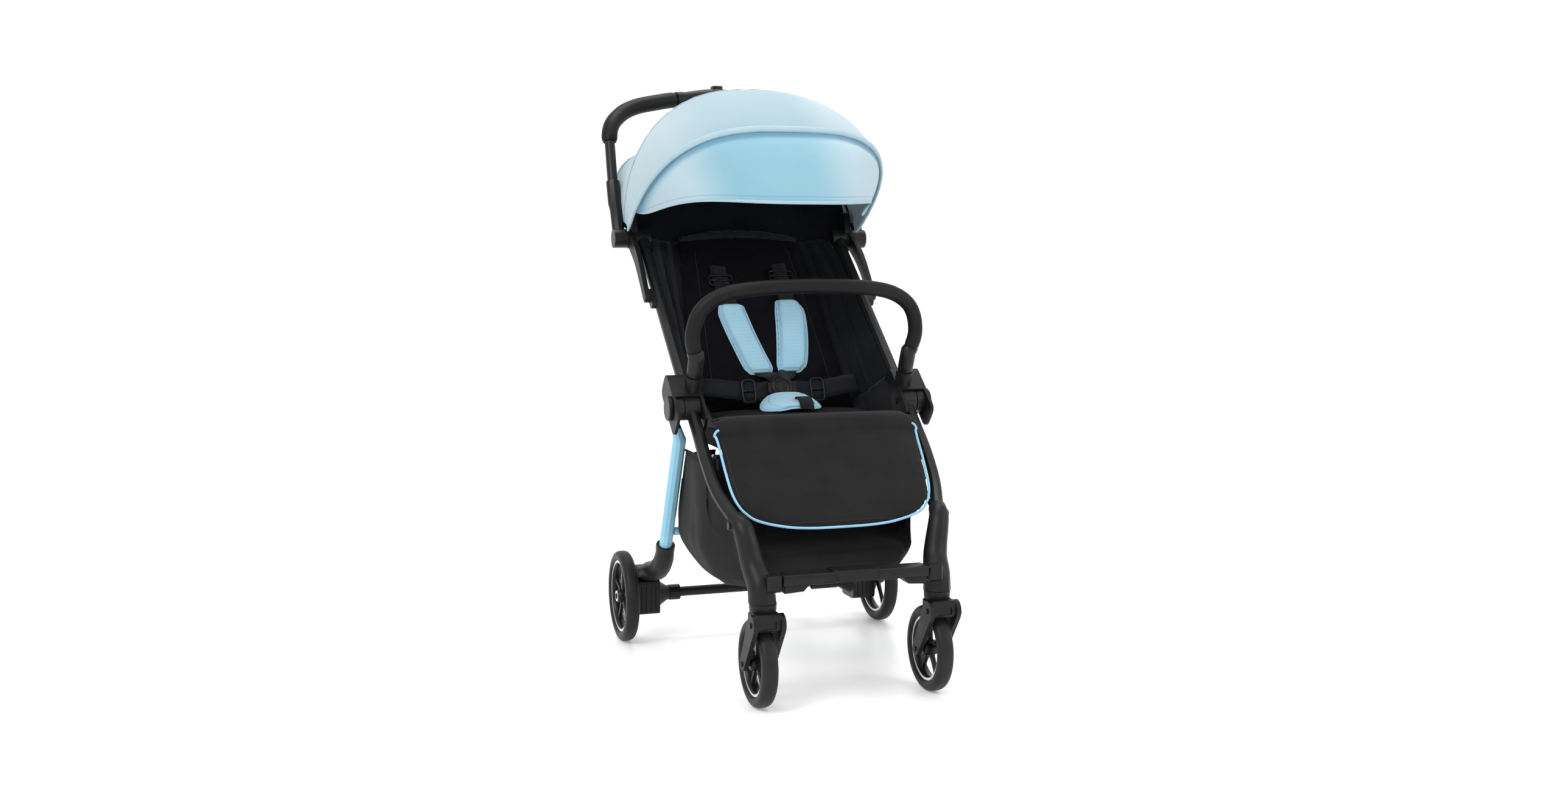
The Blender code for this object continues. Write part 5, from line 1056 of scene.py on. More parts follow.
def cushion(name, pairs, finish):
    """A closed form from a grid of pairs, each a point of the front and the one behind it."""
    rows = [[front for front, _ in row] + [back for _, back in row[::-1]] for row in pairs]
    return Shell().grid(rows, round_rows=True, ends=True).make(name, finish, crisp=180)


def puff(pad, voxel, cap, pressure=4.0, frames=20):
    """Remesh a pad evenly, inflate it as cloth, hold each point within cap of its start, and smooth it."""
    remesh = pad.modifiers.new("even squares", "REMESH")
    remesh.mode, remesh.voxel_size, remesh.use_smooth_shade = "VOXEL", voxel, True
    settle(pad)
    start = np.empty(len(pad.data.vertices) * 3, np.float32)
    pad.data.vertices.foreach_get("co", start)
    cloth = pad.modifiers.new("inflate", "CLOTH")
    fabric = cloth.settings
    fabric.quality, fabric.mass, fabric.use_pressure = 4, 0.15, True
    fabric.uniform_pressure_force = pressure
    fabric.tension_stiffness = fabric.compression_stiffness = 14
    fabric.shear_stiffness, fabric.bending_stiffness = 8, 0.4
    fabric.effector_weights.gravity = 0
    for frame_number in range(1, frames + 1):
        scene.frame_set(frame_number)
    seen = pad.evaluated_get(bpy.context.evaluated_depsgraph_get())
    ended = np.empty_like(start)
    seen.data.vertices.foreach_get("co", ended)
    pad.modifiers.clear()
    scene.frame_set(1)
    moved = (ended - start).reshape(-1, 3)
    far = np.linalg.norm(moved, axis=1, keepdims=True)
    moved *= np.minimum(1.0, cap / np.maximum(far, 1e-9))
    pad.data.vertices.foreach_set("co", (start.reshape(-1, 3) + moved).ravel())
    print(pad.name, "swelled by", round(float(far.max()) * 1000, 1), "mm, held to", cap * 1000, "mm")
    pad.modifiers.new("smooth", "SUBSURF").levels = 1
    settle(pad)
    pad.data.shade_smooth()
    return pad


def press_channels(pad, lines, direction, width=0.004, depth=0.0022):
    """Draw the cloth down along sewn lines; direction points out of the pad's face."""
    direction = Vector(direction).normalized()
    for vert in pad.data.vertices:
        nearest = 1.0
        for a, b in lines:
            span = b - a
            t = max(0.0, min(1.0, (vert.co - a).dot(span) / span.length_squared))
            off = vert.co - (a + span * t)
            off -= direction * off.dot(direction)
            nearest = min(nearest, off.length)
        if nearest < 3 * width and vert.normal.dot(direction) > 0.3:
            vert.co -= direction * depth * math.exp(-(nearest / width) ** 2)

# %% [markdown]
# Thread is what tells cloth from plastic. A stitch is a short length of it laid on the finished surface, and a
# ray shot at the pad finds the place of each of its ends. A strap is a narrow sheet along a line: its width is
# set across the way that it faces, and it gets its thickness last.


def stitch_row(name, points, onto, direction, finish, body, pitch=0.0046, length=0.0030, thick=0.00042):
    """Thread that shows as a row of dashes on a finished surface."""
    bpy.context.view_layer.update()
    direction = Vector(direction).normalized()
    along = lengths_along(points)
    shell = Shell()

    def on_surface(distance):
        i = max(k for k in range(len(points) - 1) if along[k] <= distance)
        spot = points[i].lerp(points[i + 1], (distance - along[i]) / max(1e-9, along[i + 1] - along[i]))
        hit, place, _, _ = onto.ray_cast(spot + direction * 0.03, -direction, distance=0.06)
        return place + direction * 0.00012 if hit else None

    distance = 0.002
    while distance + length < along[-1]:
        ends = [on_surface(distance), on_surface(distance + length)]
        if all(ends) and (ends[0] - ends[1]).length < 2 * length:
            shell.bar([ends[0], ends[0].lerp(ends[1], 0.5) + direction * 0.0002, ends[1]], thick, 6)
        distance += pitch
    if not shell.faces:
        return None
    row = shell.make(name, finish)
    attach(row, body)
    return row


def strap(name, path, width, body, out, thick=0.0014):
    """A flat webbing strap whose broad face looks along out."""
    rows, cloth = [], []
    out = Vector(out).normalized()
    along, half = lengths_along(path), width / 2
    across_steps = (-1, -0.5, 0, 0.5, 1)
    for i, point in enumerate(path):
        tangent = heading(path, i)
        across = tangent.cross((out - tangent * out.dot(tangent)).normalized())
        rows.append([point + across * (half * k) for k in across_steps])
        cloth.append([(along[i], half * (1 - abs(k)), 0.0) for k in across_steps])
    piece = Shell().grid(rows, cloth).make(name, webbing, outward=False)
    thicken(piece, thick)
    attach(piece, body)
    flat, area = flat_size(rows)


# %% [markdown]
# The backrest is a padded board that narrows towards an arched top. Its cloth is drawn down along two seams
# near its sides. Above it a slack roll of thin cloth gathers into crinkles where it is sewn to the curtain.

# %% Backrest


def lay_out(rows, columns, place):
    """A grid of what place(t, s) gives: t runs from row to row and s along a row, both from 0 to 1."""
    return [[place(i / rows, j / columns) for j in range(columns + 1)] for i in range(rows + 1)]


BACK_FROM, BACK_TO, BACK_LOW_HALF, BACK_TOP_HALF = -0.014, 0.378, 0.150, 0.120
back_out = on_back(0, 0, 1) - on_back(0, 0, 0)
back_up = on_back(0, 1, 0) - on_back(0, 0, 0)


def back_half(along):
    return BACK_LOW_HALF + (BACK_TOP_HALF - BACK_LOW_HALF) * (max(0.0, along) / BACK_TO) ** 1.5


def back_pair(t, s):
    """The front and the back of the board at one place; the stuffing is fullest in the middle."""
    u, along = -1 + 2 * s, BACK_FROM + (BACK_TO - BACK_FROM) * t
    full = (1 - abs(u) ** 4) * (1 - abs(2 * t - 1) ** 8)
    x = u * (back_half(along) - 0.0015)
    along += 0.014 * (1 - u * u) * t ** 3
    return on_back(x, along, -0.0040 + 0.0078 * full), on_back(x, along, -0.0130 - 0.0015 * full)


backrest = puff(cushion("backrest_cushion", lay_out(40, 30, back_pair), black_pad), 0.005, 0.0025)
seam_lines = [(on_back(s * 0.118, 0.02), on_back(s * 0.096, 0.350)) for s in (-1, 1)]
press_channels(backrest, seam_lines, back_out)
on_body(backrest, "backrest", "backrest")
for k, (a, b) in enumerate(seam_lines):
    inward = Vector((math.copysign(0.004, -a.x), 0, 0))
    line = [a.lerp(b, i / 40) + inward for i in range(41)]
    stitch_row(f"backrest_stitches_{k}", line, backrest, back_out, thread_black, "backrest")

ROLL_SIDES, ROLL_R = 24, 0.0085
roll_path = [on_back(x, 0.372 + 0.014 * (1 - (x / 0.12) ** 2), 0.001) for x in np.linspace(-0.116, 0.116, 70)]
roll_rows = []
for i, (point, side_way, up_way) in enumerate(path_frames(roll_path, back_out)):
    t = i / (len(roll_path) - 1)
    girth = ROLL_R * math.sin(math.pi * (0.06 + 0.88 * t)) ** 0.4
    loop = []
    for k, spot in enumerate(ring(point, side_way, up_way, girth * 0.7, girth, ROLL_SIDES)):
        turn = math.tau * k / ROLL_SIDES
        crinkle = noise.noise(Vector((t * 26, math.cos(turn) * 1.3, math.sin(turn) * 1.3)))
        loop.append(point + (spot - point) * (1 + 0.30 * crinkle))
    roll_rows.append(loop)
roll = Shell().grid(roll_rows, round_rows=True, ends=True).make("backrest_top_roll", roll_cloth)
on_body(roll, "backrest")
print("backrest stuffed, its roll", round(lengths_along(roll_path)[-1], 3), "m wide")

# %% [markdown]
# The side wings close the gap from each main tube to the backrest. They are thin cloth that hangs in long
# folds, so each is a sheet with three soft pleats that fade at both edges. Below each, a gusset closes the
# corner beside the cushion.

# %% Side wings and gussets
WING_FROM, WING_TO, WING_TURNS_IN, WING_THICK = 0.068, 0.3995, 0.926, 0.0012
CURTAIN_STEPS = arch_steps(REAR, 96)


def on_wing(side, t, s):
    """A point of a wing: t runs up it, and s from the main tube in to the backrest."""
    top = along_main(side * 0.1842, WING_FROM + (WING_TO - WING_FROM) * min(1.0, t * 1.08))
    along = 0.004 + t * 0.374
    low = on_back(side * (back_half(along) - 0.0100), along, -0.0165)
    if t > WING_TURNS_IN:
        top = top.lerp(on_back(side * 0.1740, 0.3830, -0.006), (t - WING_TURNS_IN) / 0.074)
    point, hang = top.lerp(low, s), math.sin(math.pi * s)
    fold = math.sin(5.5 * math.pi * s + 1.9 * t + side) * (0.35 + 0.65 * math.sin(math.pi * t) ** 0.6)
    fold += 0.8 * noise.noise(Vector((s * 5, t * 3.5, side * 9.0)))
    point.x += side * 0.0050 * abs(fold) * hang
    point.y += 0.0060 * fold * hang
    return point


def on_gusset(side, wing_foot, f, s):
    """A point of a gusset, which hangs between the cushion's edge and the foot of the wing."""
    low = at(side * (0.1620 - 0.004 * s), 0.172 + 0.160 * s, 0.4230 - 0.014 * s)
    point = low.lerp(wing_foot[round(s * (len(wing_foot) - 1))], f)
    point.x -= side * 0.004 * math.sin(math.pi * f) * (1 - s)
    point.y += 0.003 * math.sin(math.pi * f) * math.sin(7 * s + 2)
    return point


def on_curtain(f, s):
    """A point of the curtain, from the canopy's rear arch down to the top of the backrest."""
    t = CURTAIN_STEPS[round(s * (len(CURTAIN_STEPS) - 1))]
    u, hang = -math.cos(t), math.sin(math.pi * f)
    high = on_arch(REAR - np.array([0.008, 0, 0, 0]), t, -0.001)
    point = high.lerp(on_back(u * 0.1760, 0.368 + 0.014 * (1 - u * u), -0.0165), f)
    point.y += 0.0085 * hang * math.sin(6 * t) + 0.004 * hang * noise.noise(Vector((u * 9, f * 3, 4)))
    return point


for side, name in SIDE_NAMES.items():
    wing_rows = lay_out(44, 26, lambda t, s: on_wing(side, t, s))
    wing = cloth_piece(f"seat_wing_{name}", wing_rows, wing_cloth, WING_THICK, side < 0)
    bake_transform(wing)
    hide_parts(f"seat_side_{name}")
    rows = lay_out(14, 26, lambda f, s: on_gusset(side, wing_rows[0], f, s))
    gusset = cloth_piece(f"seat_gusset_{name}", rows, wing_cloth, WING_THICK, side < 0)
    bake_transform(gusset)

curtain = lay_out(24, len(CURTAIN_STEPS) - 1, on_curtain)
back_curtain = cloth_piece("rear_curtain", curtain, wing_cloth, WING_THICK)
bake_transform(back_curtain)
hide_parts("rear_panel")
print("wings, gussets and curtain hung")

# %% [markdown]
# The seat cushion is full in the middle and lies on the crossbar in front. It is stiff foam board under thin
# cloth, so it swells only a little.

# %% Seat cushion
SEAT_HALF, SEAT_FRONT, SEAT_REAR = 0.1675, 0.141, 0.3380


def seat_pair(t, s):
    """The top of the cushion, full in the middle, and its flat underside."""
    u, v = -1 + 2 * s, -1 + 2 * t
    rise = (1 - abs(u) ** 5) * (1 - abs(v) ** 5)
    y = SEAT_FRONT + (v + 1) / 2 * (SEAT_REAR - SEAT_FRONT)
    return at(u * (SEAT_HALF - 0.002), y, 0.4235 + 0.0125 * rise), at(u * (SEAT_HALF - 0.012), y, 0.3835)


seat = puff(cushion("seat_cushion", lay_out(30, 40, seat_pair), black_pad), 0.005, 0.0030)
on_body(seat, "front_frame", "seat_pad")
print("seat cushion", round(SEAT_REAR - SEAT_FRONT, 3), "m deep")

# %% [markdown]
# The calf rest is one padded cloth with the seat's front edge: it starts on top of the cushion, where it is
# sewn down, rolls over the crossbar and hangs in front of the legs. Its outline, read point by point from the
# photograph, is almost straight at the sides and turns through two wide corners. Light blue piping follows
# the hanging part: a cord covered in cloth, caught between the front and the back.

# %% Calf rest
# How far down the hinge, and how wide on one side
FLAP_OUTLINE = ((0, 0.1780), (0.010, 0.1750), (0.070, 0.1730), (0.110, 0.1700), (0.135, 0.1630),
                (0.150, 0.1530), (0.160, 0.1420), (0.1680, 0.1240), (0.1735, 0.1050), (0.1785, 0.0800),
                (0.1812, 0.0480), (0.1818, 0.0200))
ROLL = ((0.1850, 0.4335), (0.1780, 0.4385), (0.1660, 0.4425), (0.1540, 0.4420), (0.1430, 0.4375),
        (0.1350, 0.4290), (0.1292, 0.4205))
ROLL_THICK, FLAP_THICK = 0.006, 0.0095
flap_out = on_flap(0, 0, 1) - on_flap(0, 0, 0)


def flap_half(down):
    return float(np.interp(down, [d for d, _ in FLAP_OUTLINE], [h for _, h in FLAP_OUTLINE]))


def flap_pair(point, inward, half, thick, u):
    """The front of the calf rest, which curls in at its sides, and its back."""
    spot = point + Vector((u * (half + 0.0005), 0, 0))
    return spot + inward * (0.0028 * abs(u) ** 8), spot + inward * thick


# Seen from the side: a point, the way into the pad, half the width there, and the thickness
roll_curve = smooth_path([at(0, y, z) for y, z in ROLL], 5)
side_view = []
for i, point in enumerate(roll_curve):
    ahead = heading(roll_curve, i)
    inward = Vector((0, -ahead.z, ahead.y))
    side_view.append((point, inward if inward.z < 0 else -inward, 0.1735 + 0.0045 * i / len(roll_curve),
                      ROLL_THICK))
for i in range(44):
    down = 0.0050 + 0.1772 * (1 - (1 - i / 43) ** 1.7)
    fill = math.sin(math.pi * min(1.0, down / 0.1818 * 0.96 + 0.04)) ** 0.7
    side_view.append((on_flap(0, down, 0.0028 * fill - 0.0010), -flap_out, flap_half(down), FLAP_THICK))
pairs = [[flap_pair(*level, -1 + 2 * j / 60) for j in range(61)] for level in side_view]
flap = puff(cushion("calf_rest_pad", pairs, charcoal_pad), 0.0045, 0.0020)
at(0, 0.150, 0.440)
at(0, 0.120, 0.405)
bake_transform(flap)
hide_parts("calf_flap")
seam = [at(x, 0.1560, 0.45 - 0.0035 * abs(x / 0.1745) ** 6) for x in np.linspace(-0.168, 0.168, 90)]
stitch_row("seat_roll_stitches", seam, flap, (0, -0.35, 0.94), thread_black, "front_frame")

left_edge = [on_flap(-0.1700, -0.0080, 0.0010), on_flap(-0.1745, -0.0060, 0.0000)]
left_edge += [on_flap(-half - 0.0002, down, -0.0030) for down, half in FLAP_OUTLINE]
edge_line = smooth_path(left_edge + mirrored(left_edge[::-1]), 6)
piping = Shell().bar(edge_line, 0.0021, 12).make("calf_rest_piping", piping_blue)
on_body(piping, "calf_rest")
inset = [on_flap(-half + 0.008, min(down, 0.1725), 0.0) for down, half in FLAP_OUTLINE[1:]]
inset_line = smooth_path(inset + mirrored(inset[::-1]), 6)
stitch_row("calf_rest_stitches", inset_line, flap, flap_out, thread_black, "calf_rest")
print("calf rest piping is", round(lengths_along(edge_line)[-1], 3), "m long")

# %% [markdown]
# Two shoulder pads lie on the backrest, each a tongue of cloth over soft foam with a bound edge. The photograph
# shows them at different slants, because the straps above are pulled unevenly; each gets its own line. The
# edge is thin and flat, then a sewn groove, then the stuffed middle.

# %% Shoulder pads
# Down each pad: how far across, how far up the backrest, and half its width
PAD_LINES = {"left": ((-0.0475, 0.2080, 0.0235), (-0.0470, 0.1900, 0.0262), (-0.0400, 0.1500, 0.0262),
                      (-0.0310, 0.1100, 0.0262), (-0.0225, 0.0760, 0.0260), (-0.0205, 0.0660, 0.0215)),
             "right": ((0.0620, 0.2170, 0.0215), (0.0640, 0.1980, 0.0275), (0.0600, 0.1600, 0.0290),
                       (0.0530, 0.1200, 0.0290), (0.0440, 0.0820, 0.0275), (0.0380, 0.0680, 0.0215))}
EDGE_THICK, BINDING_R, END_STEPS, END_LONG = 0.0024, 0.0017, 4, 0.0060


def tongue(name, line, lift, thick, body, node, voxel=0.0022, place=on_back):
    """A stuffed tongue along a line of (x, along, half width), thin at its edge and round at its ends."""
    spots = smooth_path([Vector(p) for p in line], 8)
    count = len(spots)
    pairs = []
    for i in range(-END_STEPS, count + END_STEPS):
        spot = spots[min(max(i, 0), count - 1)].copy()
        over = -i if i < 0 else max(0, i - count + 1)
        if over:
            slope = (spots[1] - spots[0]).normalized() if i < 0 else (spots[-2] - spots[-1]).normalized()
            turn = math.pi / 2 * over / END_STEPS
            spot -= Vector((slope.x, slope.y, 0)) * (END_LONG * math.sin(turn))
            spot.z *= 0.62 + 0.38 * math.cos(turn)
        full_end = min(1.0, 0.25 + 0.25 * min(i + END_STEPS, count + END_STEPS - 1 - i))
        row = []
        for j in range(25):
            u = -1 + 2 * j / 24
            x, full = spot.x + u * spot.z, (1 - abs(u) ** 6) * full_end
            row.append((place(x, spot.y, lift + EDGE_THICK + (thick - EDGE_THICK) * full),
                        place(x, spot.y, lift)))
        pairs.append(row)
    pad = puff(cushion(name, pairs, blue_pad), voxel, 0.0016)
    rim = [[front.lerp(back, 0.4) for front, back in row] for row in pairs]
    loop = [row[0] for row in rim] + [rim[-1][k] for k in (6, 12, 18)]
    loop += [row[-1] for row in rim[::-1]] + [rim[0][k] for k in (18, 12, 6)]
    binding = Shell().bar(loop, BINDING_R, 10, closed=True).make(name + "_binding", blue_pad, crisp=180)
    on_body(pad, body, node)
    on_body(binding, body)
    return pad, [[front for front, _ in row] for row in pairs]


def sew_round(name, pad, grid, columns_in, rows_in, out, depth, body):
    """Draw a pad's cloth down along a seam inside its edge, and stitch the seam."""
    seam = [row[columns_in] for row in grid[rows_in:-rows_in]]
    seam += [row[-1 - columns_in] for row in grid[-rows_in - 1:rows_in - 1:-1]]
    seam.append(seam[0])
    press_channels(pad, list(zip(seam, seam[1:])), out, 0.0016, depth)
    stitch_row(name, seam, pad, out, thread_blue, body, thick=0.0003)


for name, line in PAD_LINES.items():
    pad, grid = tongue(f"shoulder_pad_{name}_cloth", line, 0.0068, 0.0105, "backrest", f"shoulder_pad_{name}")
    sew_round(f"shoulder_pad_{name}_stitches", pad, grid, 2, 3, back_out, 0.0020, "backrest")
print(len(PAD_LINES), "shoulder pads sewn")

# %% [markdown]
# The crotch pad is a small saddle that humps over its strap. The same tongue shape serves, laid along the
# seat and lifted towards the buckle.

# %% Crotch pad
CROTCH_LINE = ((-0.006, 0.2230, 0.0330), (-0.006, 0.2340, 0.0450), (-0.006, 0.2500, 0.0530),
               (-0.005, 0.2700, 0.0500), (-0.004, 0.2860, 0.0400))


def on_seat(x, along, out):
    """Back along the seat from its front part, rising towards the buckle, and out of the cloth."""
    lift = 0.0145 * max(0.0, (along - 0.205) / 0.08) ** 1.5 - 0.0075 * (abs(x) / 0.055) ** 2.2
    return at(x, along - out * 0.30, 0.4400 + lift + out * 0.95)


crotch, grid = tongue("crotch_pad_cloth", CROTCH_LINE, 0.0035, 0.0095, "front_frame", "crotch_pad", 0.0024,
                      on_seat)
sew_round("crotch_pad_stitches", crotch, grid, 3, 4, (0, -0.3, 0.95), 0.0018, "front_frame")
print("crotch pad sewn")

# %% [markdown]
# The harness: flat webbing runs from high on the backrest down under the pads to a round buckle,
# two short straps come in from the sides of the seat, and one comes up from below. Slides with a centre bar
# shorten them. The webbing is woven in ribs, so light changes along it.

# %% Harness webbing
# Down each shoulder strap: how far across and how far up the backrest; then how far out of it
SHOULDER_LINES = {"left": ((-0.0545, 0.3360), (-0.0560, 0.3050), (-0.0565, 0.2700), (-0.0530, 0.2350),
                           (-0.0480, 0.2000)),
                  "right": ((0.0655, 0.3380), (0.0640, 0.3080), (0.0630, 0.2800), (0.0625, 0.2450),
                            (0.0625, 0.2080))}
SHOULDER_OUT = (-0.0010, 0.0062, 0.0095, 0.0100, 0.0125)
BUCKLE_STRAP_X = {"left": -0.021, "right": 0.036}
WAIST_LINE = ((0.0230, 0.3140, 0.4700), (0.0480, 0.3100, 0.4680), (0.0900, 0.3130, 0.4720),
              (0.1250, 0.3240, 0.4760), (0.1490, 0.3360, 0.4760))
CROTCH_STRAP_LINE = ((0.2110, 0.4450), (0.2180, 0.4560), (0.2280, 0.4625), (0.2380, 0.4645), (0.2470, 0.4590))
WAIST_OUT = (0, -0.93, 0.36)

for side, name in SIDE_NAMES.items():
    line = [on_back(x, along, out) for (x, along), out in zip(SHOULDER_LINES[name], SHOULDER_OUT)]
    strap(f"shoulder_strap_{name}", smooth_path(line, 8), 0.0300, "backrest", back_out)
    low_x = BUCKLE_STRAP_X[name]
    line = [on_back(low_x, 0.0800, 0.0125), on_back(low_x * 0.9, 0.0600, 0.0130),
            at(side * 0.012, 0.3390, 0.4935), at(side * 0.006, 0.3240, 0.4850)]
    strap(f"buckle_strap_{name}", smooth_path(line, 8), 0.0260, "backrest", back_out)
    line = [at(side * x, y, z) for x, y, z in WAIST_LINE]
    strap(f"waist_strap_{name}", smooth_path(line, 8), 0.0330, "front_frame", WAIST_OUT)
line = [at(0.0110, y, z) for y, z in CROTCH_STRAP_LINE]
strap("crotch_strap", smooth_path(line, 8), 0.0250, "front_frame", (0, -0.45, 0.89))


def slide(name, centre, across, up, width, height, body):
    """A strap slide: a rounded frame with a bar across its middle."""
    across, up = Vector(across).normalized(), Vector(up).normalized()
    shell = Shell().bar(ring(centre, across, up, width / 2, height / 2, 40, 5.0), 0.0019, 10, closed=True)
    shell.bar([centre - across * width * 0.48, centre + across * width * 0.48], 0.0018, 10)
    on_body(shell.make(name, gloss_plastic, crisp=180), body)


for name, x, along in (("left", -0.0563, 0.2695), ("right", 0.0630, 0.2790)):
    slide(f"shoulder_slide_{name}", on_back(x, along, 0.0112), (1, 0, 0), back_up, 0.0460, 0.0230, "backrest")
for side, name in SIDE_NAMES.items():
    slide(f"waist_slide_{name}", at(side * 0.0640, 0.3085, 0.4695), (1, -side * 0.06, 0), (0, 0.36, 0.93),
          0.0235, 0.0400, "front_frame")
print("webbing and slides made")

# %% [markdown]
# The buckle is a round box with a dished press button. Its two tongues click in from the sides, and its own
# strap stands on the cushion.

# %% Buckle
buckle_centre = at(-0.002, 0.3115, 0.4735)
facing = Vector((0, -0.94, 0.34)).normalized()
tongue_up = facing.cross(Vector((1, 0, 0)))
shell = Shell()
shell.turned([(-0.0060, 0.0150), (-0.0050, 0.0190), (-0.0010, 0.0207), (0.0030, 0.0203), (0.0056, 0.0178),
              (0.0062, 0.0150), (0.0056, 0.0140), (0.0050, 0.0138)], buckle_centre, facing, 56)
shell.turned([(0.0030, 0.0132), (0.0054, 0.0130), (0.0062, 0.0120), (0.0060, 0.0080), (0.0054, 0.0010)],
             buckle_centre, facing, 56)
for side in (-1, 1):
    rows = []
    for k in range(5):
        middle = buckle_centre + Vector((side * (0.0150 + 0.0028 * k), 0, 0)) - facing * 0.0004
        rows.append(ring(middle, tongue_up, facing, 0.0125 - 0.0004 * k, 0.0036, 20, 4.0))
    shell.grid(rows, round_rows=True, ends=True)
buckle = shell.make("harness_buckle_round", gloss_plastic, crisp=50)
on_body(buckle, "front_frame", "harness_buckle")
stem_line = smooth_path([at(0, 0.3150, 0.4385), at(0, 0.3165, 0.4480), at(-0.001, 0.3165, 0.4580)], 6)
strap("buckle_stem", stem_line, 0.0380, "front_frame", (0, -0.95, 0.2), 0.0022)
print("harness threaded")

# %% [markdown]
# The basket is one cloth sling under the seat. Its rows run round the sling from the front rim, under the
# floor and up at the back; each row goes down one side wall, across and up the other. Cloth between its
# fixings sags, so the walls are drawn in and the floor hangs, and the hem is gathered into small scallops.

# %% Basket shape
# The sling's profile from the side: how far back and how high
BASKET_OUTLINE = ((0.1638, 0.3765), (0.1648, 0.3100), (0.1600, 0.2560), (0.1200, 0.2380), (0.0620, 0.2290),
                  (0.0475, 0.2170), (0.0560, 0.1960), (0.0900, 0.1740), (0.1300, 0.1600), (0.1900, 0.1545),
                  (0.2500, 0.1560), (0.2850, 0.1640), (0.3080, 0.1800), (0.3165, 0.2050), (0.3185, 0.2360),
                  (0.3165, 0.2640), (0.2920, 0.3180), (0.2620, 0.3765))
BASKET_TOP, BASKET_MIDDLE = 0.3765, Vector((0, 0.215, 0.270))
WALL_STEPS, FLOOR_STEPS = 14, 36
OPENING_BACK, OPENING_FLOOR, OPENING_HALF = 0.2450, 0.2660, 0.1430


def ease(value, start, length):
    t = max(0.0, min(1.0, (value - start) / length))
    return t * t * (3 - 2 * t)


def basket_half(y, z):
    """Narrow between the front legs, wide between the rear ones."""
    front = 0.1175 + 0.0460 * ease(z, 0.157, 0.16)
    rear = 0.1580 + 0.0335 * ease(z, 0.150, 0.085)
    return front + (rear - front) * ease(y, 0.080, 0.130)


def basket_wall(spot, part, k):
    """A point of the left wall: part runs round the sling, k from the top rim down to the floor."""
    top_y = 0.1640 + 0.0976 * part
    y, z = top_y + (spot.y - top_y) * k, BASKET_TOP + (spot.z - BASKET_TOP) * k
    fold = 0.0030 * noise.noise(Vector((y * 26, z * 9, 1.0))) - 0.0035
    return Vector((-(basket_half(y, z) + fold * math.sin(math.pi * k)), y, z))


def basket_floor(spot, part, u):
    """A point of the floor: it sags in the middle, and its corners are round and gathered."""
    gather = 0.0022 * math.sin(part * 105) * math.sin(math.pi * part) ** 2
    sag = (1 - u ** 4) * 0.0030 * math.sin(math.pi * part)
    inward = (BASKET_MIDDLE - spot).normalized()
    x = u * basket_half(spot.y, spot.z) * (1 - 0.06 * abs(u) ** 12)
    return Vector((x, spot.y, spot.z)) + inward * (0.0060 * abs(u) ** 10 + gather * abs(u) ** 6 - sag * 0.3
                                                   + 0.0012)


print("the basket is", round(2 * basket_half(0.3, 0.2), 3), "m wide at the back")

# %% [markdown]
# All rows together are one sheet. It is loaded from behind, so the faces of that opening are left out, and the
# two upper edges get a round rim. The sling hangs from the seat's crossbar and the rear brace.

# %% Basket cloth
outline = smooth_path([Vector((0, y, z)) for y, z in BASKET_OUTLINE], 6)
basket_rows = []
for i, spot in enumerate(outline):
    part = i / (len(outline) - 1)
    wall = [basket_wall(spot, part, j / WALL_STEPS) for j in range(WALL_STEPS)]
    bottom = [basket_floor(spot, part, -1 + 2 * j / FLOOR_STEPS) for j in range(FLOOR_STEPS + 1)]
    basket_rows.append([at(*p) for p in wall + bottom + mirrored(wall[::-1])])
shell = Shell().grid(basket_rows)
flat_rows = [lengths_along(row) for row in basket_rows]
flat_columns = [lengths_along(column) for column in zip(*basket_rows)]
shell.cloth = [(flat_columns[j][i], flat_rows[i][j], flat_rows[i][-1] - flat_rows[i][j])
               for i in range(len(basket_rows)) for j in range(len(basket_rows[0]))]


def in_the_opening(face):
    """Whether a face lies in the opening behind, under the rear rim."""
    middle = sum((Vector(shell.points[k]) for k in face), Vector()) / 4
    return (middle.y - FRONT_AXLE_Y > OPENING_BACK and middle.z > OPENING_FLOOR
            and abs(middle.x) < OPENING_HALF)


shell.faces = [face for face in shell.faces if not in_the_opening(face)]
shell.shades = [0] * len(shell.faces)
basket = shell.make("basket_sling", basket_cloth, outward=False)
basket_flat, basket_area = flat_size(basket_rows)
thicken(basket, 0.0012)
BASKET_FROM, BASKET_TO = at(0, 0.200, 0.25), at(0, 0.330, 0.25)
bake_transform(basket)
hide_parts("basket")
for name, column in (("left", 0), ("right", -1)):
    rim = Shell().bar([row[column] for row in basket_rows], 0.0022, 10).make(f"basket_rim_{name}", basket_cloth)
    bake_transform(rim)
print("basket cloth", [round(v, 3) for v in basket_flat])

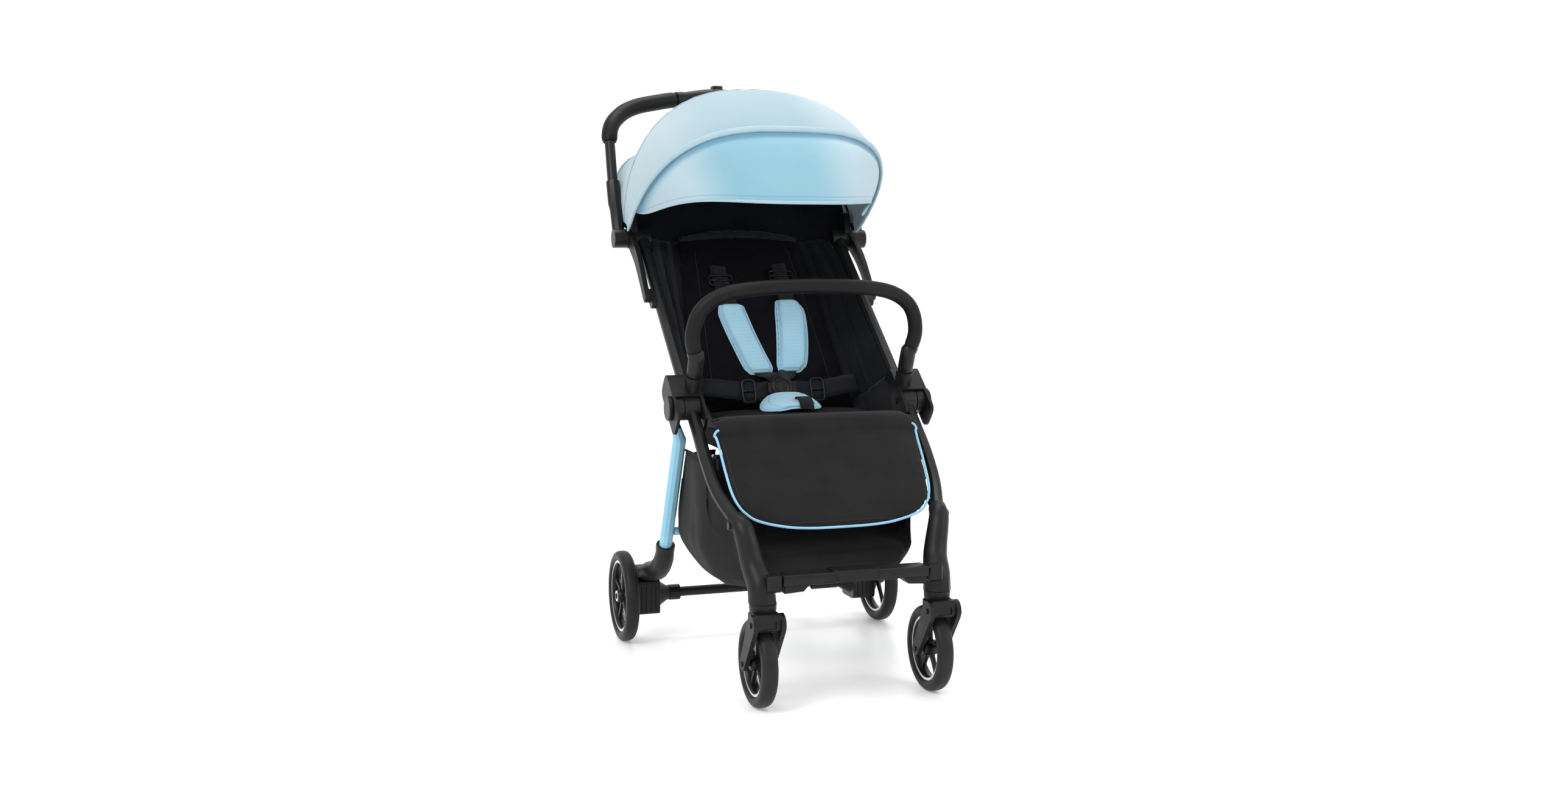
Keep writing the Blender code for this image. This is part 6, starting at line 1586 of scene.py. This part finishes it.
# %% [markdown]
# Small metal and plastic parts finish the frame: a flat strut with a knob inside each front leg, screws with
# a cross in their heads beside the crossbar, and a snap ring on the backrest. They are turned and swept like
# the larger parts, because even a small head catches a highlight that a flat picture of it would not.

# %% Small parts


def screw(shell, centre, out, radius):
    """A pan-head screw with a cross in it."""
    out = Vector(out).normalized()
    side_way = out.orthogonal().normalized()
    shell.turned([(-0.0010, radius), (0.0006, radius), (0.0013, radius * 0.80), (0.0016, radius * 0.45),
                  (0.0016, radius * 0.05)], centre, out, 28)
    for way in (side_way, out.cross(side_way)):
        ends = [Vector(centre) + out * 0.00168 + way * (radius * 0.55 * k) for k in (-1, 1)]
        shell.bar(ends, radius * 0.13, 6, shade=1)


STRUT_LINE = ((0.1735, 0.1420, 0.3520), (0.1720, 0.1250, 0.3330), (0.1690, 0.0784, 0.3130),
              (0.1655, 0.0330, 0.2930))
for side, name in SIDE_NAMES.items():
    strut_line = smooth_path([at(side * x, y, z) for x, y, z in STRUT_LINE], 8)
    shell = Shell().bar(strut_line, 0.0048, 20, power=4.0, flat=0.36, side=Vector((0, -0.35, 0.94)))
    knob = at(side * 0.1690, 0.0784, 0.3135)
    shell.turned([(-0.0050, 0.0050), (-0.0040, 0.0062), (0.0040, 0.0062), (0.0050, 0.0050)], knob,
                 (side, 0, 0), 28)
    on_body(shell.make(f"leg_strut_{name}", black_plastic, crisp=50), "front_frame")

    shell = Shell()
    screw(shell, at(side * 0.1790, 0.1370, 0.3806), (0, -1, 0.1), 0.0038)
    screw(shell, at(side * 0.1500, 0.1085, 0.3715), (0, -1, 0), 0.0036)
    screws = shell.make(f"crossbar_screws_{name}", steel, gloss_plastic, crisp=50)
    on_body(screws, "front_frame")

shell = Shell()
shell.turned([(-0.0020, 0.0056), (0.0006, 0.0056), (0.0016, 0.0046), (0.0020, 0.0020)],
             on_back(-0.1103, 0.0479, 0.0045), back_out, 28)
snap_loop = ring(on_back(-0.1103, 0.0400, 0.0062), Vector((1, 0, 0)), back_up, 0.0070, 0.0060, 28, 3.0)
shell.bar(snap_loop, 0.0011, 10, closed=True)
on_body(shell.make("backrest_snap_ring", steel, crisp=50), "backrest")
print("small parts done")
